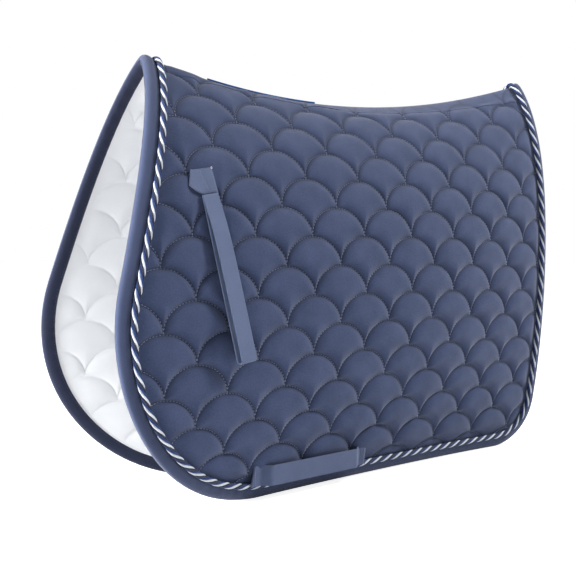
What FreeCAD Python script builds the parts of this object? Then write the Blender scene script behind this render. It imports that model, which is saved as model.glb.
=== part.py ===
"""Saddle pad with quilted flaps, bound edge, twisted trim cord and sewn webbing straps.

The pad stands on the lower edges of its two flaps, like a tent.
+X points to the rear of the pad, -Y to the near (left) side and +Z up.
The origin is the centre of the pad's footprint, on the surface that it stands on.
All lengths are millimetres and all angles are degrees.
"""
import FreeCAD, Part, Sketcher
import functools
import math
import os

Vec = FreeCAD.Vector

# Driving dimensions: alias, value, what it is.
DIMENSIONS = (
    ("overall_length", 755.0, "front to rear, over the binding"),
    ("front_corner_radius", 208.0, "round front lower corner"),
    ("front_lean", 15.4, "front edge's lean from upright"),
    ("rear_corner_radius", 80.0, "round rear lower corner"),
    ("rear_edge_radius", 2200.0, "slow bow of the rear edge"),
    ("rear_bow_height", 284.0, "height where the rear edge is furthest back"),
    ("station_front", -310.0, "section for the front shape values"),
    ("station_middle", 10.0, "section for the middle shape values"),
    ("station_rear", 330.0, "section for the rear shape values"),
    ("ridge_withers", 539.0, "ridge height at the front section"),
    ("ridge_waist", 502.5, "ridge height a third of the way back"),
    ("ridge_seat", 511.5, "ridge height two thirds of the way back"),
    ("ridge_rear", 560.5, "ridge height at the rear section"),
    ("ridge_slope_front", 39.0, "slope of the cloth beside the ridge"),
    ("ridge_slope_middle", 25.5, ""),
    ("ridge_slope_rear", 52.0, ""),
    ("flap_slope_front", 79.0, "slope that the hanging flap tends to"),
    ("flap_slope_middle", 87.5, ""),
    ("flap_slope_rear", 90.5, ""),
    ("curl_front", 18.5, "extra inward slope gained at the curl reach"),
    ("curl_middle", 21.5, ""),
    ("curl_rear", 8.0, ""),
    ("curl_reach", 500.0, "distance down the cloth where the curl is reached"),
    ("bend_length", 101.0, "distance over which ridge slope fades into flap slope"),
    ("cover_thickness", 1.0, "outer cloth"),
    ("wadding_thickness", 7.0, "foam core"),
    ("lining_thickness", 1.0, "inner cloth"),
    ("cloth_face", 2.2, "outer cloth's face above the drape surface"),
    ("layer_gap", 0.3, "air between sewn layers"),
    ("spine_gap", 12.0, "centre plane to the top edge of each half"),
    ("tape_width", 40.0, "spine tape, both sides of the ridge"),
    ("tape_thickness", 0.8, "spine tape"),
    ("binding_width", 15.0, "edge binding seen on the face"),
    ("binding_thickness", 1.0, "edge binding's cloth"),
    ("binding_fold", 1.5, "binding's cloth round the raw edge"),
    ("cord_diameter", 8.0, "twisted trim cord"),
    ("cord_lift", 0.8, "cord above the cloth's face"),
    ("cord_run", 30.0, "longest run between two points of the cord"),
    ("webbing_thickness", 1.6, "webbing of all straps"),
    ("billet_width", 20.5, "billet strap's webbing"),
    ("billet_length", 196.0, "billet loop, sewn line to fold"),
    ("billet_gap", 8.6, "clear gap between the loop's two legs"),
    ("billet_root", 8.0, "sewn-together stretch at the loop's top"),
    ("billet_flare", 42.0, "where the loop reaches its full gap"),
    ("billet_top_x", -255.5, "sewn line's place along the pad"),
    ("billet_top_down", 188.0, "sewn line's distance down the cloth"),
    ("billet_end_x", -225.0, "loop end's place along the pad"),
    ("billet_end_down", 378.0, "loop end's distance down the cloth"),
    ("billet_top_lift", 3.4, "loop's back above the cloth at its top"),
    ("billet_end_lift", 16.0, "loop's back above the cloth at its end"),
    ("patch_width", 27.0, "anchor patch across the strap"),
    ("patch_height", 31.0, "anchor patch along the strap"),
    ("patch_cut", 13.0, "anchor patch's slanted lower corner"),
    ("patch_lift", 0.5, "anchor patch above the cloth's face"),
    ("tack_thickness", 0.8, "raised thread of every tack"),
    ("tack_margin", 1.5, "thread kept inside the webbing's edge"),
    ("billet_tack_height", 3.0, "bar tack on the anchor patch"),
    ("girth_length", 190.0, "girth strap, end to end"),
    ("girth_width", 25.0, "girth strap's webbing"),
    ("girth_gap", 8.5, "girth strap's stand-off between its sewn ends"),
    ("girth_tab", 13.0, "sewn end of the girth strap"),
    ("girth_ramp", 10.0, "slanted stretch beside each sewn end"),
    ("girth_front_x", -192.0, "girth strap's front end along the pad"),
    ("girth_height", 32.0, "girth strap's middle above the floor"),
    ("girth_lift", 0.9, "sewn ends above what they cross"),
    ("front_tack_width", 4.0, "stitch row at the folded front end"),
    ("rear_tack_width", 8.0, "zigzag rows at the cut rear end"),
    ("fold_axis_height", 552.0, "axis on which the off side opens"),
)

SIDE_REACH = 400.0      # half-width of the blocks that trim the cloth, beyond any flap
ABOVE_RIDGE = 80.0      # the trimming outline's top, above the highest ridge section
SPAN_STEPS = 32         # Simpson steps down the cloth
GRID_MARGIN = 14.0      # spline faces reach this far past the pad's ends
GRID_COLUMNS = 18       # sections of a spline face along the pad
GRID_DOWNS = (-24.0, -12.0, 0.0, 12.0, 26.0, 42.0, 62.0, 88.0, 120.0, 160.0)  # close rows beside the ridge
GRID_LOWER_ROWS = 9     # even rows below them
GRID_DEPTH = 1.16       # last row's distance down, as a share of the tallest section
SHORT_RUNS = 6          # an edge shorter than this many cord runs gets twice the points
WORK_CELL = "D1"        # spreadsheet cell in which formulas are worked out


def make_sheet(doc):
    """Spreadsheet that holds the driving dimensions, one alias each."""
    sheet = doc.addObject("Spreadsheet::Sheet", "Dimensions")
    for row, (alias, value, meaning) in enumerate(DIMENSIONS, start=1):
        sheet.set(f"A{row}", alias)
        sheet.set(f"B{row}", str(value))
        sheet.set(f"C{row}", meaning)
        sheet.setAlias(f"B{row}", alias)
    doc.recompute()
    return sheet


def lagrange(stations, values, x):
    """Value at x of the lowest polynomial that passes through the stations."""
    total = 0.0
    for i, value in enumerate(values):
        term = value
        for j, station in enumerate(stations):
            if j != i:
                term *= (x - station) / (stations[i] - station)
        total += term
    return total


class Drape:
    """The near side's cloth, hung from the ridge, as a surface of x and distance down."""

    def __init__(self, size):
        self.size = size
        self.thirds = (size.station_front, size.station_middle, size.station_rear)
        span = size.station_rear - size.station_front
        self.quarters = [size.station_front + span * k / 3.0 for k in range(4)]
        self.heights = (size.ridge_withers, size.ridge_waist, size.ridge_seat, size.ridge_rear)
        self.base = functools.lru_cache(maxsize=None)(self._base)
        self.point = functools.lru_cache(maxsize=None)(self._point)

    def ridge(self, x):
        """Height of the ridge."""
        return lagrange(self.quarters, self.heights, x)

    def shape(self, name, x):
        """One of the shape angles at x, in radians."""
        values = [getattr(self.size, f"{name}_{where}") for where in ("front", "middle", "rear")]
        return math.radians(lagrange(self.thirds, values, x))

    def _base(self, x, down):
        """Point of the drape surface: the cloth's slope, summed from the ridge down."""
        start = self.shape("ridge_slope", x)
        end = self.shape("flap_slope", x)
        curl = self.shape("curl", x)

        def slope(at):
            if at < 0.0:
                return start
            fade = 1.0 - math.exp(-at / self.size.bend_length)
            return start + (end - start) * fade + curl * (at / self.size.curl_reach) ** 2

        step = down / SPAN_STEPS
        out = drop = 0.0
        for k in range(SPAN_STEPS + 1):
            weight = 1 if k in (0, SPAN_STEPS) else (4 if k % 2 else 2)
            angle = slope(k * step)
            out += weight * math.cos(angle)
            drop += weight * math.sin(angle)
        return Vec(x, -out * step / 3.0, self.ridge(x) - drop * step / 3.0)

    def normal(self, x, down):
        """Outward unit normal."""
        along = self.base(x + 1.0, down) - self.base(x - 1.0, down)
        below = self.base(x, down + 1.0) - self.base(x, down - 1.0)
        return below.cross(along).normalize()

    def _point(self, x, down, lift):
        """Point that stands off the drape surface by lift."""
        return self.base(x, down) + self.normal(x, down) * lift

    def locate(self, x, z, lift):
        """The (x, down) whose lifted point is at the given x and height."""
        at, down = x, max(self.ridge(x) - z, 0.0)
        for _ in range(14):
            found = self.point(round(at, 5), round(down, 5), lift)
            at += x - found.x
            down = max(down + (found.z - z), -self.size.spine_gap * 2.0)
        return round(at, 5), round(down, 5)

    def face_y(self, x, z, lift):
        """Where the lifted surface lies across, at the given x and height."""
        return self.point(*self.locate(x, z, lift), lift).y


class Outline:
    """Side view of a flap: front line, front arc, level base, rear arc and bowed rear edge."""

    def __init__(self, size):
        self.size = size
        lean = math.radians(size.front_lean)
        self.down_front = Vec(-math.sin(lean), 0, -math.cos(lean))
        self.into_front = Vec(math.cos(lean), 0, -math.sin(lean))
        half = size.overall_length / 2.0
        self.front_centre = Vec(size.front_corner_radius - half, 0, size.front_corner_radius)
        self.bow_centre = Vec(half - size.rear_edge_radius, 0, size.rear_bow_height)
        reach = size.rear_edge_radius - size.rear_corner_radius
        rise = size.rear_bow_height - size.rear_corner_radius
        self.rear_centre = Vec(self.bow_centre.x + math.sqrt(reach ** 2 - rise ** 2), 0,
                               size.rear_corner_radius)
        self.rear_tangent = (self.rear_centre - self.bow_centre).normalize()
        self.top = max(size.ridge_withers, size.ridge_rear) + ABOVE_RIDGE

    def marks(self, inset):
        """The outline's end and tangent points, moved inwards by inset."""
        size = self.size
        front_radius = size.front_corner_radius - inset
        rear_radius = size.rear_corner_radius - inset
        bow_radius = size.rear_edge_radius - inset
        tangent = self.front_centre - self.into_front * front_radius
        climb = (self.top - tangent.z) / -self.down_front.z
        rise = self.top - self.bow_centre.z
        return {
            "front_top": tangent - self.down_front * climb,
            "front_tangent": tangent,
            "base_front": Vec(self.front_centre.x, 0, inset),
            "base_rear": Vec(self.rear_centre.x, 0, inset),
            "rear_tangent": self.rear_centre + self.rear_tangent * rear_radius,
            "rear_top": Vec(self.bow_centre.x + math.sqrt(bow_radius ** 2 - rise ** 2), 0, self.top),
        }

    def edges(self, inset):
        """The open outline from the front's top, round the base, to the rear's top."""
        mark = self.marks(inset)
        corner = math.sqrt(0.5)
        front_turn = (Vec(-1, 0, -1) * corner) * (self.size.front_corner_radius - inset)
        rear_turn = (Vec(1, 0, -1) * corner) * (self.size.rear_corner_radius - inset)
        bow_side = Vec(self.size.rear_edge_radius - inset, 0, 0)
        return [
            Part.LineSegment(mark["front_top"], mark["front_tangent"]).toShape(),
            Part.Arc(mark["front_tangent"], self.front_centre + front_turn, mark["base_front"]).toShape(),
            Part.LineSegment(mark["base_front"], mark["base_rear"]).toShape(),
            Part.Arc(mark["base_rear"], self.rear_centre + rear_turn, mark["rear_tangent"]).toShape(),
            Part.Arc(mark["rear_tangent"], self.bow_centre + bow_side, mark["rear_top"]).toShape(),
        ]

    def block(self, inset, y_near, y_far):
        """The outline's area as a solid between two planes across the pad."""
        mark = self.marks(inset)
        lid = Part.LineSegment(mark["rear_top"], mark["front_top"]).toShape()
        face = Part.Face(Part.Wire(self.edges(inset) + [lid]))
        face.translate(Vec(0, y_near, 0))
        return face.extrude(Vec(0, y_far - y_near, 0))


def cloth_grid(drape, lift):
    """Spline face through the drape surface lifted by lift, past the outline on every side."""
    size = drape.size
    low = -size.overall_length / 2.0 - GRID_MARGIN
    high = -low
    first = GRID_DOWNS[-1]
    last = max(drape.heights) * GRID_DEPTH
    downs = list(GRID_DOWNS)
    downs += [first + (last - first) * k / GRID_LOWER_ROWS for k in range(1, GRID_LOWER_ROWS + 1)]
    points = []
    for i in range(GRID_COLUMNS):
        x = low + (high - low) * i / (GRID_COLUMNS - 1)
        points.append([drape.point(round(x, 5), round(down, 5), lift) for down in downs])
    surface = Part.BSplineSurface()
    surface.interpolate(points)
    return surface


def cloth_slab(drape, inner, outer):
    """Closed solid between two lifts of the drape surface."""
    low, high = cloth_grid(drape, inner), cloth_grid(drape, outer)
    u0, u1, v0, v1 = low.bounds()
    s0, s1, t0, t1 = high.bounds()
    pairs = (
        (low.uIso(u0), high.uIso(s0)),
        (low.uIso(u1), high.uIso(s1)),
        (low.vIso(v0), high.vIso(t0)),
        (low.vIso(v1), high.vIso(t1)),
    )
    walls = [Part.makeRuledSurface(a.toShape(), b.toShape()) for a, b in pairs]
    shell = Part.makeShell([low.toShape(), high.toShape()] + walls)
    shell.sewShape()
    solid = Part.makeSolid(shell)
    if solid.Volume < 0:
        solid.reverse()
    return solid


def lifts(size):
    """Lifts of every cloth face above the drape surface, from the outer face in."""
    gap = size.layer_gap
    cover_in = size.cloth_face - size.cover_thickness
    wadding_out = cover_in - gap
    wadding_in = wadding_out - size.wadding_thickness
    lining_out = wadding_in - gap
    lining_in = lining_out - size.lining_thickness
    return {
        "cover": (cover_in, size.cloth_face),
        "wadding": (wadding_in, wadding_out),
        "lining": (lining_in, lining_out),
        "packed": (lining_in - gap, size.cloth_face + gap),
        "binding": (lining_in - gap - size.binding_thickness,
                    size.cloth_face + gap + size.binding_thickness),
        "tape_outer": (size.cloth_face + gap, size.cloth_face + gap + size.tape_thickness),
        "tape_inner": (lining_in - gap - size.tape_thickness, lining_in - gap),
    }


def one_solid(shape):
    """The largest solid of a boolean's result."""
    return max(shape.Solids, key=lambda solid: solid.Volume)


def cloth_layer(drape, outline, span):
    """One cloth layer of the near side, inside the binding's fold."""
    size = drape.size
    block = outline.block(size.binding_fold + size.layer_gap, -SIDE_REACH, -size.spine_gap)
    return one_solid(cloth_slab(drape, *span).common(block))


def edge_binding(drape, outline, spans):
    """Folded binding: a band along the outline, hollow where the layers lie."""
    size = drape.size
    outside = outline.block(0.0, -SIDE_REACH, -size.spine_gap)
    inside = outline.block(size.binding_width, -SIDE_REACH, SIDE_REACH)
    room = outline.block(size.binding_fold, -SIDE_REACH, SIDE_REACH)
    band = cloth_slab(drape, *spans["binding"]).common(outside).cut(inside)
    hollow = cloth_slab(drape, *spans["packed"]).common(room)
    return one_solid(band.cut(hollow))


def spine_tape(drape, outline, span, inset):
    """Tape over the ridge: the near half and its mirror image, joined on the centre plane."""
    size = drape.size
    block = outline.block(inset, -size.tape_width / 2.0, 0.0)
    half = one_solid(cloth_slab(drape, *span).common(block))
    other = half.mirror(Vec(0, 0, 0), Vec(0, 1, 0))
    return one_solid(half.fuse(other).removeSplitter())


def cord_centre_lift(size):
    """Lift of the cord's centre line above the drape surface."""
    return size.cloth_face + size.cord_lift + size.cord_diameter / 2.0


def cord_route(drape, outline):
    """Points of the trim cord, from the ridge at the front, round the flap, to the rear."""
    size = drape.size
    inset = size.binding_width + size.layer_gap + size.cord_diameter / 2.0
    lift = cord_centre_lift(size)
    limit = -size.spine_gap - size.cord_diameter / 2.0
    points = []
    for edge in outline.edges(inset):
        count = max(2, math.ceil(edge.Length / size.cord_run))
        if edge.Length < size.cord_run * SHORT_RUNS:
            count *= 2
        for flat in edge.discretize(count + 1)[:-1]:
            spot = drape.point(*drape.locate(flat.x, flat.z, lift), lift)
            if spot.y < limit and abs(spot.z - flat.z) < 0.5:
                points.append(spot)
    return points


def tube(points, diameter):
    """Round tube on straight runs joined by tangent arcs."""
    edges = []
    here = points[0]
    smallest = float("inf")
    for before, corner, after in zip(points, points[1:], points[2:]):
        into = (corner - before).normalize()
        out = (after - corner).normalize()
        turn = into.getAngle(out)
        if turn < math.radians(0.4):
            continue
        trim = 0.45 * min(before.distanceToPoint(corner), corner.distanceToPoint(after))
        radius = trim / math.tan(turn / 2.0)
        smallest = min(smallest, radius)
        start = corner - into * trim
        end = corner + out * trim
        bisector = (out - into).normalize()
        middle = corner + bisector * (radius / math.cos(turn / 2.0) - radius)
        edges.append(Part.LineSegment(here, start).toShape())
        edges.append(Part.Arc(start, middle, end).toShape())
        here = end
    edges.append(Part.LineSegment(here, points[-1]).toShape())
    path = Part.Wire(edges)
    first = edges[0].tangentAt(edges[0].FirstParameter)
    ring = Part.Wire(Part.Circle(points[0], first, diameter / 2.0).toShape())
    solid = path.makePipeShell([ring], True, False)
    expected = path.Length * math.pi * diameter ** 2 / 4.0
    print(f"cord: length {path.Length:.1f}, smallest radius {smallest:.1f}, "
          f"volume ratio {solid.Volume / expected:.4f}")
    return solid


def frame_placement(origin, along, outward):
    """Placement whose local X runs along, local Z outward and local Y across."""
    ex = Vec(along).normalize()
    ez = (outward - ex * outward.dot(ex)).normalize()
    ey = ez.cross(ex)
    matrix = FreeCAD.Matrix(ex.x, ey.x, ez.x, origin.x,
                            ex.y, ey.y, ez.y, origin.y,
                            ex.z, ey.z, ez.z, origin.z,
                            0, 0, 0, 1)
    return FreeCAD.Placement(matrix)


def add_feature(doc, label, shape):
    """Document object for a shape that Part's own functions made."""
    item = doc.addObject("Part::Feature", label)
    item.Label = label
    item.Shape = shape
    item.Placement = FreeCAD.Placement()
    return item


def sketch_polygon(doc, body, plane, corners):
    """Closed sketch whose corners are pairs of spreadsheet formulas."""
    role = {feature.Role: feature for feature in body.Origin.OriginFeatures}
    sketch = body.newObject("Sketcher::SketchObject", f"{body.Name}_profile")
    sketch.AttachmentSupport = (role[plane], [""])
    sketch.MapMode = "FlatFace"
    values = [tuple(worked_out(doc, formula) for formula in corner) for corner in corners]
    count = len(corners)
    for i in range(count):
        start, end = values[i], values[(i + 1) % count]
        sketch.addGeometry(Part.LineSegment(Vec(*start, 0), Vec(*end, 0)), False)
    for i in range(count):
        sketch.addConstraint(Sketcher.Constraint("Coincident", i, 2, (i + 1) % count, 1))
    for i, corner in enumerate(corners):
        for kind, formula in zip(("DistanceX", "DistanceY"), corner):
            value = worked_out(doc, formula)
            index = sketch.addConstraint(Sketcher.Constraint(kind, -1, 1, i, 1, value))
            if formula != "0":
                sketch.setExpression(f"Constraints[{index}]", formula_text(formula))
    return sketch


def formula_text(formula):
    """A formula on aliases as an expression that names the spreadsheet."""
    words = formula.replace("(", " ( ").replace(")", " ) ").split()
    return " ".join(f"Dimensions.{word}" if word[0].isalpha() else word for word in words)


def worked_out(doc, formula):
    """The number that a formula on aliases gives, worked out in a spreadsheet cell."""
    if formula == "0":
        return 0.0
    sheet = doc.getObject("Dimensions")
    sheet.set(WORK_CELL, f"={formula}")
    sheet.recompute()
    return float(sheet.get(WORK_CELL))


def padded_body(doc, label, plane, corners, depth, symmetric, placement):
    """PartDesign body: one polygon sketch and one Pad."""
    body = doc.addObject("PartDesign::Body", label)
    body.Label = label
    sketch = sketch_polygon(doc, body, plane, corners)
    pad = body.newObject("PartDesign::Pad", f"{label}_pad")
    pad.Profile = sketch
    if symmetric:
        pad.SideType = "Symmetric"
    pad.setExpression("Length", formula_text(depth))
    body.Placement = placement
    return body


def billet_frame(drape):
    """Placement of the billet loop: local X down the strap, local Z outwards."""
    size = drape.size
    top = drape.point(size.billet_top_x, size.billet_top_down, size.cloth_face + size.billet_top_lift)
    end = drape.point(size.billet_end_x, size.billet_end_down, size.cloth_face + size.billet_end_lift)
    outward = drape.normal(size.billet_top_x, size.billet_top_down)
    return frame_placement(top, end - top, outward)


def billet_strap(doc, drape):
    """Hanging loop: two legs of webbing, sewn together at the top and folded at the end."""
    outer = "billet_gap + webbing_thickness * 2"
    root = "webbing_thickness * 2"
    tip = "webbing_thickness"
    body = doc.addObject("PartDesign::Body", "near_billet_strap")
    body.Label = "near_billet_strap"
    fold = "billet_length - billet_gap * 0.5"
    rim = [("0", "0"), (fold, "0"), ("billet_length", "billet_gap * 0.3 + webbing_thickness"),
           ("billet_length", "billet_gap * 0.7 + webbing_thickness"), (fold, outer),
           ("billet_flare", outer), ("0", root)]
    inner_fold = "billet_length - billet_gap * 0.5 - webbing_thickness * 0.4"
    inner_end = "billet_length - webbing_thickness"
    void = [("billet_root", tip), (inner_fold, tip), (inner_end, "billet_gap * 0.32 + webbing_thickness"),
            (inner_end, "billet_gap * 0.68 + webbing_thickness"),
            (inner_fold, "billet_gap + webbing_thickness"),
            ("billet_flare", "billet_gap + webbing_thickness"),
            ("billet_root", "webbing_thickness * 1.05 + 0.3")]
    pad = body.newObject("PartDesign::Pad", "billet_loop_pad")
    pad.Profile = sketch_polygon(doc, body, "XZ_Plane", rim)
    pad.SideType = "Symmetric"
    pad.setExpression("Length", formula_text("billet_width"))
    doc.recompute()
    pocket = body.newObject("PartDesign::Pocket", "billet_loop_gap")
    pocket.Profile = sketch_polygon(doc, body, "XZ_Plane", void)
    pocket.SideType = "Symmetric"
    pocket.setExpression("Length", formula_text("billet_width * 2"))
    body.Placement = billet_frame(drape)
    return body


def billet_patch(doc, drape):
    """Flat folded webbing that carries the billet loop, with one lower corner cut slantwise."""
    size = drape.size
    run = Vec(size.billet_end_x - size.billet_top_x, size.billet_end_down - size.billet_top_down, 0)
    lean = run.normalize()
    back = size.patch_height / 2.0 + size.layer_gap
    at = (size.billet_top_x - lean.x * back, size.billet_top_down - lean.y * back)
    low, high = drape.base(at[0] + lean.x, at[1] + lean.y), drape.base(at[0] - lean.x, at[1] - lean.y)
    seat = drape.point(*at, size.cloth_face + size.patch_lift)
    middle = frame_placement(seat, low - high, drape.normal(*at))
    frame = on_top_of(middle, Vec(-size.patch_height / 2.0, -size.patch_width / 2.0, 0))
    corners = [("0", "0"), ("patch_height - patch_cut * 0.5", "0"), ("patch_height", "patch_cut * 0.5"),
               ("patch_height", "patch_width"), ("0", "patch_width")]
    return padded_body(doc, "near_billet_patch", "XY_Plane", corners, "webbing_thickness * 2", False, frame)


def on_top_of(base, offset):
    """Placement of a piece that lies on another flat piece, moved in that piece's own axes."""
    return base.multiply(FreeCAD.Placement(offset, FreeCAD.Rotation()))


def rectangle(length, width):
    """Corners of a rectangle from the sketch's origin."""
    return [("0", "0"), (length, "0"), (length, width), ("0", width)]


def billet_tack(doc, drape, patch):
    """Bar of thread across the anchor patch, beside the loop's sewn line."""
    size = drape.size
    offset = Vec(size.patch_height - size.billet_tack_height - size.tack_margin,
                 size.patch_cut * 0.5, size.webbing_thickness * 2.0)
    corners = rectangle("billet_tack_height", "patch_width - patch_cut * 0.5 - tack_margin")
    return padded_body(doc, "near_billet_tack", "XY_Plane", corners, "tack_thickness", False,
                       on_top_of(patch.Placement, offset))


def girth_frame(drape):
    """Placement of the girth strap: an upright plane that clears the cloth and the cord."""
    size = drape.size
    cord = size.cord_diameter / 2.0
    cord_z = size.binding_width + size.layer_gap + cord
    half = size.girth_width / 2.0
    heights = [size.girth_height + half * k / 4.0 for k in range(-4, 5)]

    def furthest(x):
        cloth = min(drape.face_y(x, z, size.cloth_face) for z in heights)
        rope = drape.face_y(x, cord_z, cord_centre_lift(size)) - cord
        return min(cloth, rope) - size.girth_lift

    rear_x = size.girth_front_x + size.girth_length
    front_y = min(furthest(size.girth_front_x), furthest(size.girth_front_x + size.girth_tab))
    rear_y = min(furthest(rear_x), furthest(rear_x - size.girth_tab))
    origin = Vec(size.girth_front_x, front_y, size.girth_height)
    along = Vec(size.girth_length, rear_y - front_y, 0)
    return frame_placement(origin, along, Vec(0, -1, 0))


def girth_strap(doc, drape):
    """Girth strap: sewn flat at both ends, standing off the flap between them."""
    top = "girth_gap + webbing_thickness"
    rear_tab = "girth_length - girth_tab"
    rear_ramp = "girth_length - girth_tab - girth_ramp"
    front_ramp = "girth_tab + girth_ramp"
    corners = [("0", "0"), ("girth_tab", "0"), (front_ramp, "girth_gap"), (rear_ramp, "girth_gap"),
               (rear_tab, "0"), ("girth_length", "0"), ("girth_length", "webbing_thickness"),
               (rear_tab, "webbing_thickness"), (rear_ramp, top), (front_ramp, top),
               ("girth_tab", "webbing_thickness"), ("0", "webbing_thickness")]
    return padded_body(doc, "near_girth_strap", "XZ_Plane", corners, "girth_width", True,
                       girth_frame(drape))


def girth_tack(doc, size, strap, label, width, start):
    """Rows of thread across one sewn end of the girth strap."""
    offset = Vec(start, -size.girth_width / 2.0 + size.tack_margin, size.webbing_thickness)
    corners = rectangle(width, "girth_width - tack_margin * 2")
    return padded_body(doc, label, "XY_Plane", corners, "tack_thickness", False,
                       on_top_of(strap.Placement, offset))


def mirrored(doc, near):
    """The off side's copy of a near-side piece, mirrored across the centre plane."""
    label = near.Label.replace("near_", "off_")
    item = doc.addObject("Part::Mirroring", label)
    item.Label = label
    item.Source = near
    item.Normal = Vec(0, 1, 0)
    item.Base = Vec(0, 0, 0)
    return item


def near_side(doc, drape, outline):
    """All pieces of the near side."""
    size = drape.size
    spans = lifts(size)
    pieces = [
        add_feature(doc, "near_outer_cover", cloth_layer(drape, outline, spans["cover"])),
        add_feature(doc, "near_wadding", cloth_layer(drape, outline, spans["wadding"])),
        add_feature(doc, "near_lining", cloth_layer(drape, outline, spans["lining"])),
        add_feature(doc, "near_edge_binding", edge_binding(drape, outline, spans)),
        add_feature(doc, "near_trim_cord", tube(cord_route(drape, outline), size.cord_diameter)),
    ]
    patch = billet_patch(doc, drape)
    strap = girth_strap(doc, drape)
    rear_start = size.girth_length - size.rear_tack_width - size.tack_margin
    pieces += [
        patch,
        billet_tack(doc, drape, patch),
        billet_strap(doc, drape),
        strap,
        girth_tack(doc, size, strap, "near_girth_front_tack", "front_tack_width", size.tack_margin),
        girth_tack(doc, size, strap, "near_girth_rear_tack", "rear_tack_width", rear_start),
    ]
    return pieces


def check(pieces, doc):
    """Stop if any object failed or any piece is not one valid closed solid."""
    for item in doc.Objects:
        if "Invalid" in item.State or "Error" in item.State:
            raise RuntimeError(f"{item.Label} failed: {item.State}")
    for piece in pieces:
        shape = piece.Shape
        if shape.isNull() or not shape.isValid() or not shape.Solids:
            raise RuntimeError(f"{piece.Label} has no valid solid")


def main():
    """Build the document, check it and write one STEP file for each piece."""
    doc = FreeCAD.newDocument("saddle_pad")
    size = make_sheet(doc)
    drape = Drape(size)
    outline = Outline(size)
    spans = lifts(size)
    pieces = near_side(doc, drape, outline)
    doc.recompute()
    pieces += [mirrored(doc, piece) for piece in list(pieces)]
    cord_inside = size.binding_width + size.cord_diameter + size.layer_gap * 2.0
    pieces.append(add_feature(doc, "spine_tape_outer",
                              spine_tape(drape, outline, spans["tape_outer"], cord_inside)))
    pieces.append(add_feature(doc, "spine_tape_inner",
                              spine_tape(drape, outline, spans["tape_inner"],
                                         size.binding_width + size.layer_gap)))
    doc.recompute()
    check(pieces, doc)
    os.makedirs("parts", exist_ok=True)
    for piece in pieces:
        piece.Shape.exportStep(f"parts/{piece.Label}.step")
        box = piece.Shape.optimalBoundingBox(False)
        print(f"{piece.Label}: {len(piece.Shape.Solids)} solid, {piece.Shape.Volume / 1000:.2f} cm3, "
              f"x {box.XMin:.1f} {box.XMax:.1f}, y {box.YMin:.1f} {box.YMax:.1f}, "
              f"z {box.ZMin:.1f} {box.ZMax:.1f}")


if __name__ == "__main__":
    main()
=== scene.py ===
"""Quilted saddle pad: two flaps over a spine, bound edge, twisted cord, billet loops and girth keepers.

Sizes in the classes are millimetres and degrees; every mesh is written in metres.
+X points to the rear, -Y to the near side and +Z up. The pad stands on z = 0.
"""
from __future__ import annotations

import logging
import math
from dataclasses import dataclass, field
from enum import Enum
from typing import Any, Sequence

import bpy
import numpy as np
from mathutils import Matrix, Vector

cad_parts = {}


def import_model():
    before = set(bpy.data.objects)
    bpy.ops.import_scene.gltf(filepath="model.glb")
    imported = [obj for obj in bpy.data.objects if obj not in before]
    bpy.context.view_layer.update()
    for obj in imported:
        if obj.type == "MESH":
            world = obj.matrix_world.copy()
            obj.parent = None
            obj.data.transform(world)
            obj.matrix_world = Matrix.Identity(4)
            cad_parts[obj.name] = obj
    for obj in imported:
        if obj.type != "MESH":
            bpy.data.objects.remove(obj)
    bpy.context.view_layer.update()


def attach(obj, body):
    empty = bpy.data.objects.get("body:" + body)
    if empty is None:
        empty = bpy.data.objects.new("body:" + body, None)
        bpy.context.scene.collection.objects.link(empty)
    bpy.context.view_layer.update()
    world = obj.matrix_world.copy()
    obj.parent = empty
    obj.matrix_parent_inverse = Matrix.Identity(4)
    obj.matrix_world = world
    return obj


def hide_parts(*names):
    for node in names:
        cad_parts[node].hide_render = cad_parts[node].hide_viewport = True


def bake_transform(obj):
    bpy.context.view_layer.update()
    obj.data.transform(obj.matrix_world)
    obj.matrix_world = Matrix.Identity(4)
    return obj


Array = np.ndarray
Spot = tuple[float, float, float]
Colour = tuple[float, float, float, float]
MM = 0.001
TINY = 1e-6
WHITE: Colour = (1.0, 1.0, 1.0, 1.0)
LOG = logging.getLogger("saddle_pad")


class Side(Enum):
    """The pad's two flaps. Shapes are worked out for the near one and mirrored for the off one."""

    NEAR = "near"
    OFF = "off"

    @property
    def body(self) -> str:
        """Body that this flap belongs to."""
        return f"{self.value}_side"

    def name(self, part: str) -> str:
        """Name of a part on this flap."""
        return f"{self.value}_{part}"


class Yarn(Enum):
    """The cord's strands, in the order in which they are laid."""

    WHITE = 0
    ROYAL = 1
    SLATE = 2


@dataclass(frozen=True)
class PadSizes:
    """Sizes that the flaps share with the frame, in millimetres and degrees."""

    overall_length: float = 755.0
    front_corner_radius: float = 208.0
    front_lean: float = 15.4
    rear_corner_radius: float = 80.0
    rear_edge_radius: float = 2200.0
    rear_bow_height: float = 284.0
    outline_top: float = 640.0
    stations: tuple[float, float, float] = (-310.0, 10.0, 330.0)
    ridge_heights: tuple[float, float, float, float] = (539.0, 502.5, 511.5, 560.5)
    ridge_slopes: tuple[float, float, float] = (39.0, 25.5, 52.0)
    flap_slopes: tuple[float, float, float] = (79.0, 87.5, 90.5)
    curls: tuple[float, float, float] = (18.5, 21.5, 8.0)
    curl_reach: float = 500.0
    bend_length: float = 101.0
    least_steepness: float = 0.45
    mitre_reach: float = 40.0
    cloth_face: float = 2.2
    ridge_softness: float = 4.0
    cord_diameter: float = 8.0
    cord_inset: float = 18.6
    cord_lift: float = 5.6
    webbing_thickness: float = 1.6


# --------------------------------------------------------------------------- meshes


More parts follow.
